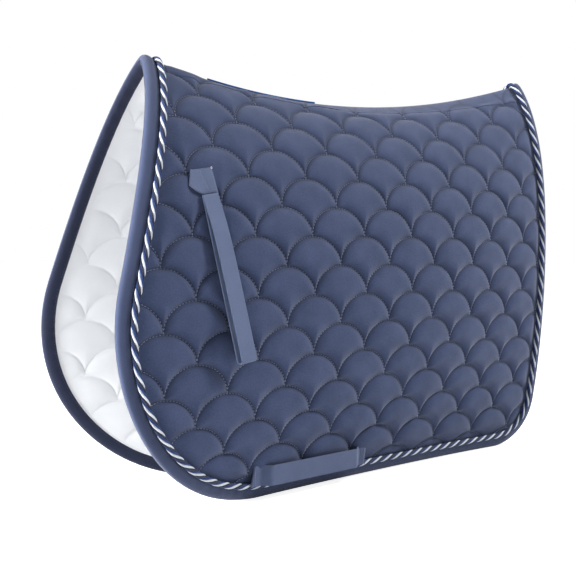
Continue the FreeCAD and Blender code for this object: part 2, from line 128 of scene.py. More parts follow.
@dataclass
class Shell:
    """Points and faces of a piece before it becomes a mesh. Each array in faces has one row per face."""

    points: Array
    faces: list[Array]
    uv: Array
    marks: dict[str, Array] = field(default_factory=dict)
    slots: list[Array] | None = None

    def mirrored(self) -> "Shell":
        """The same shell on the other side of the centre plane, still facing outwards."""
        return Shell(self.points * np.array([1.0, -1.0, 1.0]), [f[:, ::-1] for f in self.faces],
                     self.uv, self.marks, self.slots)

    def on(self, side: Side) -> "Shell":
        """This near-side shell, as it is on the given side."""
        return self if side is Side.NEAR else self.mirrored()


def joined(shells: Sequence[Shell]) -> Shell:
    """One shell that holds all the given ones.

    Args:
        shells: Shells with the same marks; their faces keep their own slots.

    Returns:
        The points one after another, with the face indices moved up to match.
    """
    start = 0
    faces: list[Array] = []
    slots: list[Array] = []
    for shell in shells:
        for k, face in enumerate(shell.faces):
            faces.append(face + start)
            slots.append(shell.slots[k] if shell.slots else np.zeros(len(face), np.int32))
        start += len(shell.points)
    names = shells[0].marks.keys()
    return Shell(
        np.concatenate([shell.points for shell in shells]),
        faces,
        np.concatenate([shell.uv for shell in shells]),
        {name: np.concatenate([shell.marks[name] for shell in shells]) for name in names},
        slots,
    )


def grid_faces(rows: int, columns: int, close_columns: bool = False) -> Array:
    """Quads of a grid whose points run column by column within each row.

    Args:
        rows: Number of point rows.
        columns: Number of points in a row.
        close_columns: Whether the last column joins the first.

    Returns:
        Corner indices, one quad a row.
    """
    i = np.arange(rows - 1)[:, None]
    j = np.arange(columns if close_columns else columns - 1)[None, :]
    k = (j + 1) % columns
    quads = np.stack(np.broadcast_arrays(i * columns + j, i * columns + k,
                                         (i + 1) * columns + k, (i + 1) * columns + j), axis=-1)
    return quads.reshape(-1, 4)


def end_faces(rows: int, columns: int) -> list[Array]:
    """Two faces that close the first and the last row of a grid whose columns are closed."""
    ring = np.arange(columns)
    return [ring[None, ::-1], (ring + (rows - 1) * columns)[None, :]]


def rim_of(faces: Array) -> Array:
    """Directed edges that only one face uses.

    Args:
        faces: Quads.

    Returns:
        Start and end index of each border edge, in its face's own direction.
    """
    edges = np.concatenate([faces[:, [k, (k + 1) % 4]] for k in range(4)])
    edges = edges[edges[:, 0] != edges[:, 1]]
    top = int(edges.max()) + 1
    forward = edges[:, 0] * top + edges[:, 1]
    backward = edges[:, 1] * top + edges[:, 0]
    return edges[~np.isin(forward, backward)]


def slab(outer: Array, inner: Array, faces: Array, uv: Array, marks: dict[str, Array]) -> Shell:
    """Closed solid between two sheets that share their faces.

    Args:
        outer: Points of the outward face.
        inner: Points of the inward face, in the same order.
        faces: Quads of the outward face.
        uv: Flat coordinates of the outward face's points.
        marks: Values at the outward face's points.

    Returns:
        Both faces, the inward one turned round, and the wall along their border.
    """
    used = np.unique(faces)
    index = np.zeros(len(outer), np.int64)
    index[used] = np.arange(len(used))
    faces = index[faces]
    count = len(used)
    rim = rim_of(faces)
    wall = np.stack([rim[:, 1], rim[:, 0], rim[:, 0] + count, rim[:, 1] + count], axis=-1)
    return Shell(
        np.concatenate([outer[used], inner[used]]),
        [faces, faces[:, ::-1] + count, wall],
        np.concatenate([uv[used], uv[used]]),
        {name: np.concatenate([value[used], value[used]]) for name, value in marks.items()},
    )


def make_piece(name: str, shell: Shell, materials: Sequence[bpy.types.Material]) -> bpy.types.Object:
    """Mesh object at the origin with its place in its mesh.

    Args:
        name: The piece's name.
        shell: Its points, in millimetres, and faces.
        materials: Its materials, in slot order.

    Returns:
        The new object, smooth shaded.
    """
    mesh = bpy.data.meshes.new(name)
    loops = np.concatenate([face.ravel() for face in shell.faces]).astype(np.int32)
    totals = np.concatenate([np.full(len(face), face.shape[1]) for face in shell.faces]).astype(np.int32)
    mesh.vertices.add(len(shell.points))
    mesh.vertices.foreach_set("co", (shell.points * MM).astype(np.float32).ravel())
    mesh.loops.add(len(loops))
    mesh.loops.foreach_set("vertex_index", loops)
    mesh.polygons.add(len(totals))
    mesh.polygons.foreach_set("loop_start", (np.cumsum(totals) - totals).astype(np.int32))
    if shell.slots:
        mesh.polygons.foreach_set("material_index", np.concatenate(shell.slots).astype(np.int32))
    layer = mesh.uv_layers.new(name="Flat")
    layer.data.foreach_set("uv", shell.uv[loops].astype(np.float32).ravel())
    for mark, values in shell.marks.items():
        layer = mesh.attributes.new(mark, "FLOAT", "POINT")
        layer.data.foreach_set("value", values.astype(np.float32))
    mesh.update(calc_edges=True)
    mesh.validate()
    mesh.polygons.foreach_set("use_smooth", np.ones(len(mesh.polygons), bool))
    for material in materials:
        mesh.materials.append(material)
    piece = bpy.data.objects.new(name, mesh)
    bpy.context.scene.collection.objects.link(piece)
    LOG.info("%s: %d points, %d faces", name, len(shell.points), len(totals))
    return piece


def sewn_piece(side: Side, name: str, shell: Shell, materials: Sequence[bpy.types.Material],
               node: str | None = None) -> bpy.types.Object:
    """Piece of one flap, made from its near-side shell and not yet on a body.

    Args:
        side: The flap.
        name: The piece's name, without its side.
        shell: The piece's shape on the near side.
        materials: Its materials, in slot order.
        node: The node that it stands for, without its side, or None where it has none.

    Returns:
        The new object.
    """
    piece = make_piece(side.name(name), shell.on(side), materials)
    if node:
        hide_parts(side.name(node))
    return piece


def unit(vectors: Array) -> Array:
    """Vectors of length one; one with no length stays as it is."""
    least = 1e-12
    return vectors / np.maximum(np.linalg.norm(vectors, axis=-1, keepdims=True), least)


def run_along(path: Array) -> Array:
    """Distance of each point along a line, from its first point."""
    return np.concatenate([[0.0], np.cumsum(np.linalg.norm(np.diff(path, axis=0), axis=1))])


def flat_grid(along: Array, across: Array) -> Array:
    """Flat coordinates of a grid's points: every distance along with every distance across."""
    return np.stack(np.broadcast_arrays(along[:, None], across[None, :]), axis=-1).reshape(-1, 2)


def round_ring(sides: int, radius: float) -> Array:
    """(out, up) offsets of a circle's corners: the sine and cosine of equal turns."""
    angle = np.arange(sides) * 2.0 * math.pi / sides
    return np.stack([np.sin(angle), np.cos(angle)], axis=-1) * radius


def smooth_step(value: Array, low: float, high: float) -> Array:
    """0 below low, 1 above high and an S curve, 3t^2 - 2t^3, in between."""
    t = np.clip((value - low) / (high - low), 0.0, 1.0)
    return t * t * (3.0 - 2.0 * t)


def crease_mark(seam: Array) -> Array:
    """Depth of shade in the crease: strong on the stitching, faint up to a few millimetres away."""
    core_depth, core_reach = 0.75, 1.7
    fringe_depth, fringe_reach = 0.3, 4.5
    return core_depth * np.exp(-(seam / core_reach) ** 2) + fringe_depth * np.exp(-seam / fringe_reach)


# --------------------------------------------------------------------------- drape and outline


class Drape:
    """The near flap's cloth, hung from the ridge, as a surface of x and distance down the cloth."""

    SUM_POINTS = 12
    CORRECTIONS = 18

    def __init__(self, size: PadSizes) -> None:
        """Keep the sizes and the points at which the slope is summed."""
        self.size = size
        self.knots, self.weights = np.polynomial.legendre.leggauss(self.SUM_POINTS)
        first, _, last = size.stations
        self.quarters = tuple(first + (last - first) * k / 3.0 for k in range(4))

    @staticmethod
    def through(stations: Sequence[float], values: Sequence[float], x: Array) -> Array:
        """Value at x of the lowest polynomial that passes through the stations."""
        total = np.zeros_like(x, dtype=float)
        for i, value in enumerate(values):
            term = np.full_like(total, value)
            for j, station in enumerate(stations):
                if j != i:
                    term = term * (x - station) / (stations[i] - station)
            total = total + term
        return total

    def ridge(self, x: Array) -> Array:
        """Height of the ridge."""
        return self.through(self.quarters, self.size.ridge_heights, x)

    def ridge_slope(self, x: Array) -> Array:
        """Slope of the cloth beside the ridge, in radians."""
        return np.radians(self.through(self.size.stations, self.size.ridge_slopes, x))

    def slope(self, x: Array, at: Array) -> Array:
        """Slope of the cloth: the ridge's fades into the flap's, and a curl grows as distance squared."""
        start = self.ridge_slope(x)
        end = np.radians(self.through(self.size.stations, self.size.flap_slopes, x))
        curl = np.radians(self.through(self.size.stations, self.size.curls, x))
        down = np.maximum(at, 0.0)
        fade = 1.0 - np.exp(-down / self.size.bend_length)
        return start + (end - start) * fade + curl * (down / self.size.curl_reach) ** 2

    def base(self, x: Array, down: Array) -> Array:
        """Points of the drape surface: cosine and sine of the slope, summed from the ridge down."""
        x, down = np.broadcast_arrays(np.asarray(x, float), np.asarray(down, float))
        at = down[..., None] * (self.knots + 1.0) / 2.0
        angle = self.slope(x[..., None], at)
        out = (np.cos(angle) * self.weights).sum(-1) * down / 2.0
        drop = (np.sin(angle) * self.weights).sum(-1) * down / 2.0
        return np.stack([x, -out, self.ridge(x) - drop], axis=-1)

    def normal(self, x: Array, down: Array) -> Array:
        """Outward unit normals."""
        x, down = np.broadcast_arrays(np.asarray(x, float), np.asarray(down, float))
        along = self.base(x + 1.0, down) - self.base(x - 1.0, down)
        angle = self.slope(x, down)
        below = np.stack([np.zeros_like(angle), -np.cos(angle), -np.sin(angle)], axis=-1)
        return unit(np.cross(below, along))

    def raw_point(self, x: Array, down: Array, lift: Array) -> Array:
        """Points that stand off the drape surface by lift."""
        return self.base(x, down) + self.normal(x, down) * np.asarray(lift, float)[..., None]

    def softened(self, points: Array) -> Array:
        """Points with the ridge rounded: |y| near the centre plane becomes the root of y^2 + softness^2."""
        reach = np.abs(points[..., 1])
        extra = np.sqrt(reach ** 2 + self.size.ridge_softness ** 2) - reach
        lowered = points.copy()
        lowered[..., 2] -= np.tan(self.ridge_slope(points[..., 0])) * extra
        return lowered

    def point(self, x: Array, down: Array, lift: Array) -> Array:
        """Points that stand off the cloth by lift. The ridge is rounded, and 0 down is the centre plane."""
        x, down, lift = np.broadcast_arrays(*(np.asarray(v, float) for v in (x, down, lift)))
        mitre = np.tan(self.ridge_slope(x)) * lift * (1.0 - smooth_step(down, 0.0, self.size.mitre_reach))
        found = self.raw_point(x, down - mitre, lift)
        found[..., 1] = np.where(down < TINY, 0.0, found[..., 1])
        return self.softened(found)

    def steepness(self, x: Array, down: Array) -> Array:
        """Sine of the cloth's slope, kept from getting small."""
        return np.maximum(np.sin(self.slope(x, down)), self.size.least_steepness)

    def locate(self, x: Array, z: Array, lift: Array) -> tuple[Array, Array]:
        """The (x, down) whose lifted point is at the given x and height, by repeated correction."""
        at = np.array(x, float)
        down = self.ridge(at) - z
        for _ in range(self.CORRECTIONS):
            found = self.raw_point(at, down, lift)
            steep = self.steepness(at, down)
            at = at + (x - found[..., 0])
            down = down + (found[..., 2] - z) / steep
        return at, down


class Outline:
    """Side view of a flap: front line, front arc, level base, rear arc and bowed rear edge."""

    def __init__(self, size: PadSizes) -> None:
        """Work out the arcs' centres and the lengths of the five runs."""
        self.size = size
        lean = math.radians(size.front_lean)
        half = size.overall_length / 2.0
        self.front_down = np.array([-math.sin(lean), -math.cos(lean)])
        self.front_in = np.array([math.cos(lean), -math.sin(lean)])
        self.front_centre = np.array([size.front_corner_radius - half, size.front_corner_radius])
        self.bow_centre = np.array([half - size.rear_edge_radius, size.rear_bow_height])
        reach = size.rear_edge_radius - size.rear_corner_radius
        rise = size.rear_bow_height - size.rear_corner_radius
        self.rear_centre = np.array([self.bow_centre[0] + math.sqrt(reach ** 2 - rise ** 2),
                                     size.rear_corner_radius])
        self.rear_out = unit(self.rear_centre - self.bow_centre)
        self.front_tangent = self.front_centre - self.front_in * size.front_corner_radius
        self.line_length = (size.outline_top - self.front_tangent[1]) / -self.front_down[1]
        self.front_turn = math.pi / 2.0 + lean
        self.base_length = self.rear_centre[0] - self.front_centre[0]
        self.rear_start = math.atan2(self.rear_out[1], self.rear_out[0])
        self.rear_turn = math.pi / 2.0 + self.rear_start
        bow_rise = (size.outline_top - self.bow_centre[1]) / size.rear_edge_radius
        self.bow_turn = math.asin(bow_rise) - self.rear_start
        self.lengths = np.array([
            self.line_length,
            self.front_turn * size.front_corner_radius,
            self.base_length,
            self.rear_turn * size.rear_corner_radius,
            self.bow_turn * size.rear_edge_radius,
        ])
        self.total = float(self.lengths.sum())

    def trace(self, along: Array, inset: float) -> Array:
        """Points of the outline moved inwards.

        Args:
            along: Distances along the outline from above the ridge at the front.
            inset: Distance inwards.

        Returns:
            x and z of each point.
        """
        size = self.size
        ends = np.concatenate([[0.0], np.cumsum(self.lengths)])
        run = np.clip(np.searchsorted(ends, along, side="right") - 1, 0, len(self.lengths) - 1)
        at = along - ends[run]
        front_angle = math.pi + math.radians(-size.front_lean) + at / size.front_corner_radius
        rear_angle = -math.pi / 2.0 + at / size.rear_corner_radius
        bow_angle = self.rear_start + at / size.rear_edge_radius
        line_end = self.front_tangent - self.front_down * self.line_length
        choices = [
            line_end + np.outer(at, self.front_down) + self.front_in * inset,
            self._arc(self.front_centre, size.front_corner_radius - inset, front_angle),
            np.stack([self.front_centre[0] + at, np.full_like(at, inset)], axis=-1),
            self._arc(self.rear_centre, size.rear_corner_radius - inset, rear_angle),
            self._arc(self.bow_centre, size.rear_edge_radius - inset, bow_angle),
        ]
        return np.stack(choices)[run, np.arange(len(at))]

    @staticmethod
    def _arc(centre: Array, radius: float, angle: Array) -> Array:
        """Points at the given angles on a circle."""
        return centre + radius * np.stack([np.cos(angle), np.sin(angle)], axis=-1)

    def inset(self, x: Array, z: Array) -> Array:
        """Distance of side-view points inside the outline, negative outside it."""
        size = self.size
        spot = np.stack([x, z], axis=-1)
        from_front = spot - self.front_centre
        from_rear = spot - self.rear_centre
        line = (spot - self.front_tangent) @ self.front_in
        bow = size.rear_edge_radius - np.linalg.norm(spot - self.bow_centre, axis=-1)
        plain = np.minimum(np.minimum(line, bow), z)
        in_front = (from_front @ self.front_down > 0) & (from_front[..., 0] < 0)
        turn = self.rear_out[0] * from_rear[..., 1] - self.rear_out[1] * from_rear[..., 0]
        in_rear = (from_rear[..., 0] > 0) & (turn < 0)
        corner = size.front_corner_radius - np.linalg.norm(from_front, axis=-1)
        heel = size.rear_corner_radius - np.linalg.norm(from_rear, axis=-1)
        return np.where(in_front, corner, np.where(in_rear, heel, plain))


class Pattern:
    """Rails and places on the draped flap that all pieces share."""

    SEARCH_POINTS = 900
    PULLS = 7
    GRADIENT_STEP = 0.05

    def __init__(self, size: PadSizes) -> None:
        """Make the drape and the outline."""
        self.size = size
        self.drape = Drape(size)
        self.outline = Outline(size)

    def rail(self, inset: float, lift: float, count: int) -> tuple[Array, Array]:
        """Line along the flap's edge from the ridge at the front to the ridge at the rear.

        Args:
            inset: Distance inside the outline.
            lift: Distance off the cloth.
            count: Number of points.

        Returns:
            The points, and the outward normals there.
        """
        rough = np.linspace(0.0, self.outline.total, self.SEARCH_POINTS)
        y = self._across(rough, inset, lift)
        under = np.flatnonzero(y < 0.0)
        first, last = under[0], under[-1]
        start = np.interp(0.0, [y[first], y[first - 1]], [rough[first], rough[first - 1]])
        end = np.interp(0.0, [y[last], y[last + 1]], [rough[last], rough[last + 1]])
        along = np.linspace(start, end, count)
        flat = self.outline.trace(along, inset)
        x, down = self.drape.locate(flat[:, 0], flat[:, 1], np.full(count, lift))
        points = self.drape.raw_point(x, down, np.full(count, lift))
        points[[0, -1], 1] = 0.0
        return self.drape.softened(points), self.drape.normal(x, down)

    def _across(self, along: Array, inset: float, lift: float) -> Array:
        """How far across the pad the edge lies, at distances along the outline."""
        flat = self.outline.trace(along, inset)
        lifts = np.full(len(along), lift)
        x, down = self.drape.locate(flat[:, 0], flat[:, 1], lifts)
        return self.drape.raw_point(x, down, lifts)[:, 1]

    def pulled_in(self, x: Array, down: Array, target: float) -> tuple[Array, Array]:
        """Places moved inwards, straight away from the edge, until they are at least target inside it."""
        step = self.GRADIENT_STEP
        for _ in range(self.PULLS):
            spot = self.drape.base(x, down)
            here = self.outline.inset(spot[..., 0], spot[..., 2])
            grad_x = (self.outline.inset(spot[..., 0] + step, spot[..., 2]) - here) / step
            grad_z = (self.outline.inset(spot[..., 0], spot[..., 2] + step) - here) / step
            need = np.maximum(target - here, 0.0)
            x = x + grad_x * need
            down = down - grad_z * need / self.drape.steepness(x, down)
        return x, np.maximum(down, 0.0)


# --------------------------------------------------------------------------- quilting


@dataclass(frozen=True)
class Quilting:
    """Scallop stitching: rows of half ellipses, each with its feet on the tops of the next row's."""

    pitch: float = 84.0
    row_step: float = 36.09
    first_x: float = 56.74
    first_down: float = -3.78
    lean: float = 4.18
    bow: float = 2.74
    first_row: int = -2
    last_row: int = 17
    first_column: float = -6.0
    last_column: float = 5.0
    puff_reach: float = 17.0
    puff_power: float = 0.62
    tuck_drop: float = 62.5
    tuck_reach: float = 5.5
    tuck_softness: float = 1.8
    arc_points: int = 61

    def place(self, column: Array, row: Array) -> tuple[Array, Array]:
        """(x, down) of lattice positions; the rows lean and bow slightly along the pad."""
        x = self.first_x + self.pitch * column
        down = self.first_down + self.row_step * row + self.lean * column + self.bow * column ** 2
        return x, down

    def centre(self, row: Array, column: Array) -> Array:
        """Lattice column of the scallop top in this row that is nearest to each column."""
        shift = 0.5 * (np.asarray(row) % 2)
        return np.round(column - shift) + shift

    def arc(self, row: Array, column: Array) -> Array:
        """Lattice row of the stitched half ellipse at each column: row + 1 - sqrt(1 - t^2)."""
        t = np.clip(2.0 * (column - self.centre(row, column)), -1.0, 1.0)
        return row + 1.0 - np.sqrt(np.maximum(1.0 - t * t, 0.0))

    def seam_distance(self, row: Array, column: Array, at: Array) -> Array:
        """Distance from each place to the nearest stitched line, in millimetres.

        Args:
            row: Row of the scallop that each place lies in.
            column: Lattice column.
            at: Lattice row.

        Returns:
            The least distance to the scallop's own arc, the two below it and the soft tuck above their joint.
        """
        turn = np.linspace(-math.pi / 2.0, math.pi / 2.0, self.arc_points)
        own = np.stack([0.5 * np.sin(turn), 1.0 - np.cos(turn)], axis=-1)
        low = own + np.array([-0.5, 1.0])
        right = own + np.array([0.5, 1.0])
        marks = np.concatenate([own, low, right]) * np.array([self.pitch, self.row_step])
        x = (column - self.centre(row, column)) * self.pitch
        y = (at - row) * self.row_step
        best = np.full(x.shape, np.inf)
        for mark in marks:
            best = np.minimum(best, (x - mark[0]) ** 2 + (y - mark[1]) ** 2)
        beside = np.maximum(np.abs(x) - self.tuck_reach, 0.0)
        tuck = beside ** 2 + (y - self.tuck_drop) ** 2 + self.tuck_softness ** 2
        return np.sqrt(np.minimum(best, tuck))

    def seam_at(self, x: Array, down: Array) -> Array:
        """Distance to the stitching at any place on the flap."""
        column = (x - self.first_x) / self.pitch
        at = (down - self.first_down - self.lean * column - self.bow * column ** 2) / self.row_step
        row = np.floor(at)
        row = np.where(self.arc(row, column) <= at, row, row - 1.0)
        return self.seam_distance(row, column, at)

    def grid(self, across: int, deep: int) -> tuple[Array, Array, Array, Array]:
        """Grid whose lines run along every stitched line.

        Args:
            across: Columns in half a scallop.
            deep: Rows between one arc and the next.

        Returns:
            Lattice column, lattice row, distance to the stitching, each rows by columns, and the quads.
        """
        halves = int(round((self.last_column - self.first_column) * 2))
        part = (np.arange(across) + 0.5) / across
        eased = (1.0 - np.cos(math.pi * part)) / 2.0
        columns = (self.first_column + 0.5 * (np.arange(halves)[:, None] + eased[None, :])).ravel()
        steps = (1.0 - np.cos(math.pi * np.arange(deep) / deep)) / 2.0
        rows_in, at_rows = [], []
        for row in range(self.first_row, self.last_row):
            top = self.arc(row, columns)
            below = self.arc(row + 1, columns)
            at_rows.append(top + steps[:, None] * (below - top))
            rows_in.append(np.full((deep, len(columns)), row))
        at = np.concatenate(at_rows)
        row = np.concatenate(rows_in)
        column = np.broadcast_to(columns, at.shape)
        return column, at, self.seam_distance(row, column, at), grid_faces(*at.shape)

    def puff(self, distance: Array) -> Array:
        """Share of the full puff: 1 - (1 - d)^2, to a power below one for steep sides at the stitching."""
        near = np.clip(distance / self.puff_reach, 0.0, 1.0)
        return (1.0 - (1.0 - near) ** 2) ** self.puff_power


# --------------------------------------------------------------------------- shader kit


class Signal:
    """A socket's value, with arithmetic that adds Math nodes."""

    def __init__(self, kit: "NodeKit", socket: bpy.types.NodeSocket) -> None:
        """Wrap an output socket."""
        self.kit = kit
        self.socket = socket

    def _math(self, operation: str, *values: Any) -> "Signal":
        """Result of a Math node on the given values."""
        return self.kit.node("ShaderNodeMath", {"operation": operation}, dict(enumerate(values)))

    def __add__(self, other: Any) -> "Signal":
        """Sum."""
        return self._math("ADD", self, other)

    __radd__ = __add__

    def __mul__(self, other: Any) -> "Signal":
        """Product."""
        return self._math("MULTIPLY", self, other)

    __rmul__ = __mul__

    def wave(self) -> "Signal":
        """Sine, for values in radians."""
        return self._math("SINE", self)

    def size(self) -> "Signal":
        """Value without its sign."""
        return self._math("ABSOLUTE", self)

    def capped(self, low: float, high: float) -> "Signal":
        """S curve from 0 at low to 1 at high."""
        return self.kit.node("ShaderNodeMapRange", {"interpolation_type": "SMOOTHSTEP"},
                             {"Value": self, "From Min": low, "From Max": high})


class NodeKit:
    """One material's or world's nodes."""

    def __init__(self, owner: bpy.types.Material | bpy.types.World) -> None:
        """Start with an empty tree."""
        owner.use_nodes = True
        self.tree = owner.node_tree
        self.tree.nodes.clear()

    def add(self, kind: str, settings: dict[str, Any] | None = None,
            inputs: dict[Any, Any] | None = None) -> bpy.types.Node:
        """Add a node.

        Args:
            kind: The node's type.
            settings: Its own settings.
            inputs: Values or signals by socket name or number.

        Returns:
            The new node.
        """
        made = self.tree.nodes.new(kind)
        for key, value in (settings or {}).items():
            setattr(made, key, value)
        for key, value in (inputs or {}).items():
            if isinstance(value, Signal):
                self.tree.links.new(value.socket, made.inputs[key])
            else:
                made.inputs[key].default_value = value
        return made

    def node(self, kind: str, settings: dict[str, Any] | None = None,
             inputs: dict[Any, Any] | None = None, out: int | str = 0) -> Signal:
        """One output, by name or number, of a node that is added with these settings and inputs."""
        return Signal(self, self.add(kind, settings, inputs).outputs[out])

    def mixed(self, share: Signal | float, first: Any, second: Any) -> Signal:
        """Colour between two colours."""
        return self.node("ShaderNodeMix", {"data_type": "RGBA"}, {0: share, 6: first, 7: second}, 2)


def dye(red: int, green: int, blue: int) -> Colour:
    """Linear colour for a shade written as it looks, 0 to 255 a channel: a straight toe, then a power."""
    toe_end, toe_slope, offset, power = 0.04045, 12.92, 0.055, 2.4
    shade = np.array([red, green, blue]) / 255.0
    curve = np.where(shade <= toe_end, shade / toe_slope, ((shade + offset) / (1.0 + offset)) ** power)
    return (*curve.tolist(), 1.0)


class Lay(Enum):
    """How a textile's threads run."""

    PLAIN = "plain"
    TWILL = "twill"
    RIBBED = "ribbed"
    TWISTED = "twisted"


@dataclass(frozen=True)
class Textile:
    """Finish of a cloth, tape, webbing or yarn. The flat coordinates that it reads are millimetres."""

    RIB_THREADS = 2.6
    TWIST_SLANT = 0.55

    name: str
    colour: Colour
    shade: Colour
    lay: Lay = Lay.PLAIN
    thread: float = 0.9
    depth: float = 0.25
    mottle: float = 0.5
    relief: float = 0.18
    sheen: float = 0.25
    roughness: float = 0.85
    # How strongly the crease mark paints shade into the colour; crease_dark sets how dark the painted shade
    # gets.
    crease_shade: float = 0.0
    crease_dark: float = 0.32

    def material(self) -> bpy.types.Material:
        """Build the material: thread pattern, mottling and painted shade in the creases."""
        made = bpy.data.materials.new(self.name)
        kit = NodeKit(made)
        flat = kit.node("ShaderNodeUVMap", {"uv_map": "Flat"})
        fine = kit.node("ShaderNodeTexNoise", None, {
            "Vector": flat, "Scale": 0.5, "Detail": 5.0, "Roughness": 0.7})
        broad = kit.node("ShaderNodeTexNoise", None, {"Vector": flat, "Scale": 0.035, "Detail": 4.0})
        weave = self._weave(kit, flat)
        tone = fine * self.mottle + broad * (0.6 - self.mottle * 0.5) + weave * self.relief
        colour = kit.mixed(tone.capped(0.25, 0.85), self.shade, self.colour)
        # Painted shade: where the crease mark is strong, the colour goes towards crease_dark times itself,
        # standing in for the shadow in the quilting's creases.
        if self.crease_shade:
            mark = kit.node("ShaderNodeAttribute", {"attribute_name": "crease_shade"}, None, "Fac")
            dark = (*(channel * self.crease_dark for channel in self.colour[:3]), 1.0)
            colour = kit.mixed(mark * self.crease_shade, colour, dark)
        bump = kit.node("ShaderNodeBump", None, {
            "Height": weave * 0.7 + fine * 0.5, "Strength": 0.6, "Distance": self.depth * MM}, "Normal")
        shader = kit.node("ShaderNodeBsdfPrincipled", None, {
            "Base Color": colour, "Roughness": self.roughness, "Normal": bump,
            "Sheen Weight": self.sheen, "Sheen Roughness": 0.45, "Specular IOR Level": 0.25})
        kit.add("ShaderNodeOutputMaterial", None, {"Surface": shader})
        return made

    def _weave(self, kit: NodeKit, flat: Signal) -> Signal:
        """Height of the threads, about 0 to 1, from sine waves along and across."""
        parts = kit.add("ShaderNodeSeparateXYZ", None, {0: flat})
        along, across = (Signal(kit, socket) for socket in parts.outputs[:2])
        turn = 2.0 * math.pi / self.thread
        if self.lay is Lay.TWILL:
            return ((along + across) * turn).wave() * 0.5 + 0.5
        if self.lay is Lay.RIBBED:
            rib = (across * (turn / self.RIB_THREADS)).wave().size()
            cross = ((along + rib * 0.6) * turn).wave()
            return rib * 0.6 + cross * 0.25 + 0.2
        if self.lay is Lay.TWISTED:
            return ((along * self.TWIST_SLANT + across) * turn).wave() * 0.5 + 0.5
        return (along * turn).wave() * (across * turn).wave() * 0.5 + 0.5


class Finishes:
    """All the pad's materials, made once."""

    def __init__(self) -> None:
        """Make each finish's material."""
        self.cover = Textile("navy_cover", dye(82, 95, 132), dye(50, 61, 91), thread=1.0,
                             depth=0.25, crease_shade=0.85).material()
        self.wadding = Textile("grey_wadding", dye(214, 214, 208), dye(190, 190, 186), depth=0.6).material()
        self.lining = Textile("white_lining", dye(246, 247, 249), dye(238, 240, 243), thread=1.1,
                              depth=0.2, mottle=0.35).material()
        self.binding = Textile("navy_binding", dye(78, 89, 122), dye(62, 72, 102), Lay.TWILL, thread=0.9,
                               depth=0.3).material()
        # Painted shade: a darker copy of the binding's navy for the tape's inner face, standing in for the
        # shade inside the pad.
        self.binding_shaded_inside = Textile("navy_binding_painted_shade", dye(40, 47, 74), dye(28, 33, 54), Lay.TWILL,
                                      thread=0.9, depth=0.35).material()
        self.piping = Textile("royal_piping", dye(62, 112, 178), dye(44, 86, 150), depth=0.2).material()
        self.webbing = Textile("slate_webbing", dye(108, 122, 155), dye(80, 92, 124), Lay.RIBBED,
                               thread=1.0, depth=0.6, mottle=0.35, relief=0.55).material()
        self.girth = Textile("slate_girth_webbing", dye(98, 111, 144), dye(70, 81, 112), Lay.RIBBED,
                             thread=1.0, depth=0.6, mottle=0.4, relief=0.5).material()
        self.thread = self._thread("slate_thread", dye(150, 161, 190), dye(122, 133, 162))
        self.dark_thread = self._thread("navy_thread", dye(52, 62, 96), dye(40, 48, 80))
        self.white_thread = self._thread("white_thread", dye(232, 234, 238), dye(206, 210, 218))
        self.yarns = {
            Yarn.WHITE: self._yarn("white_yarn", dye(243, 246, 250), dye(222, 229, 240), 0.15, 0.6),
            Yarn.ROYAL: self._yarn("royal_yarn", dye(42, 80, 146), dye(22, 42, 92), 0.2, 0.55),
            Yarn.SLATE: self._yarn("slate_yarn", dye(36, 44, 76), dye(20, 26, 50), 0.2, 0.6),
        }

    @staticmethod
    def _thread(name: str, colour: Colour, shade: Colour) -> bpy.types.Material:
        """Sewing thread."""
        return Textile(name, colour, shade, Lay.TWISTED, thread=0.5, depth=0.1).material()

    @staticmethod
    def _yarn(name: str, colour: Colour, shade: Colour, sheen: float, roughness: float) -> bpy.types.Material:
        """Cord yarn, smoother than the cloth."""
        return Textile(name, colour, shade, Lay.TWISTED, thread=0.9, depth=0.3, sheen=sheen,
                       roughness=roughness).material()


# --------------------------------------------------------------------------- sub-assemblies


@dataclass
class Joining:
    """The cloth's crossing of the spine: the height of its middle and its reach."""

    middle_height: float = 550.0
    reach: float = 16.0

    def bend(self, piece: bpy.types.Object) -> bpy.types.Object:
        """Bake a piece's placement into its mesh, and hand the piece back."""
        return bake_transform(piece)


@dataclass
class Press:
    """A flat thing sewn on the cloth, which holds the quilting down under it."""

    x: float
    down: float
    half_along: float
    half_down: float
    cap: float
    spread: float = 0.35

    def limit(self, x: Array, down: Array) -> Array:
        """Highest lift that the cloth may have: the cap under the thing, rising outside it."""
        outside = np.maximum(np.maximum(np.abs(x - self.x) - self.half_along,
                                        np.abs(down - self.down) - self.half_down), 0.0)
        return self.cap + self.spread * outside


@dataclass(frozen=True)
class Layer:
    """A quilted layer: its name, the node that it stands for, its material slot and how full it is."""

    name: str
    node: str
    slot: str
    fill: float


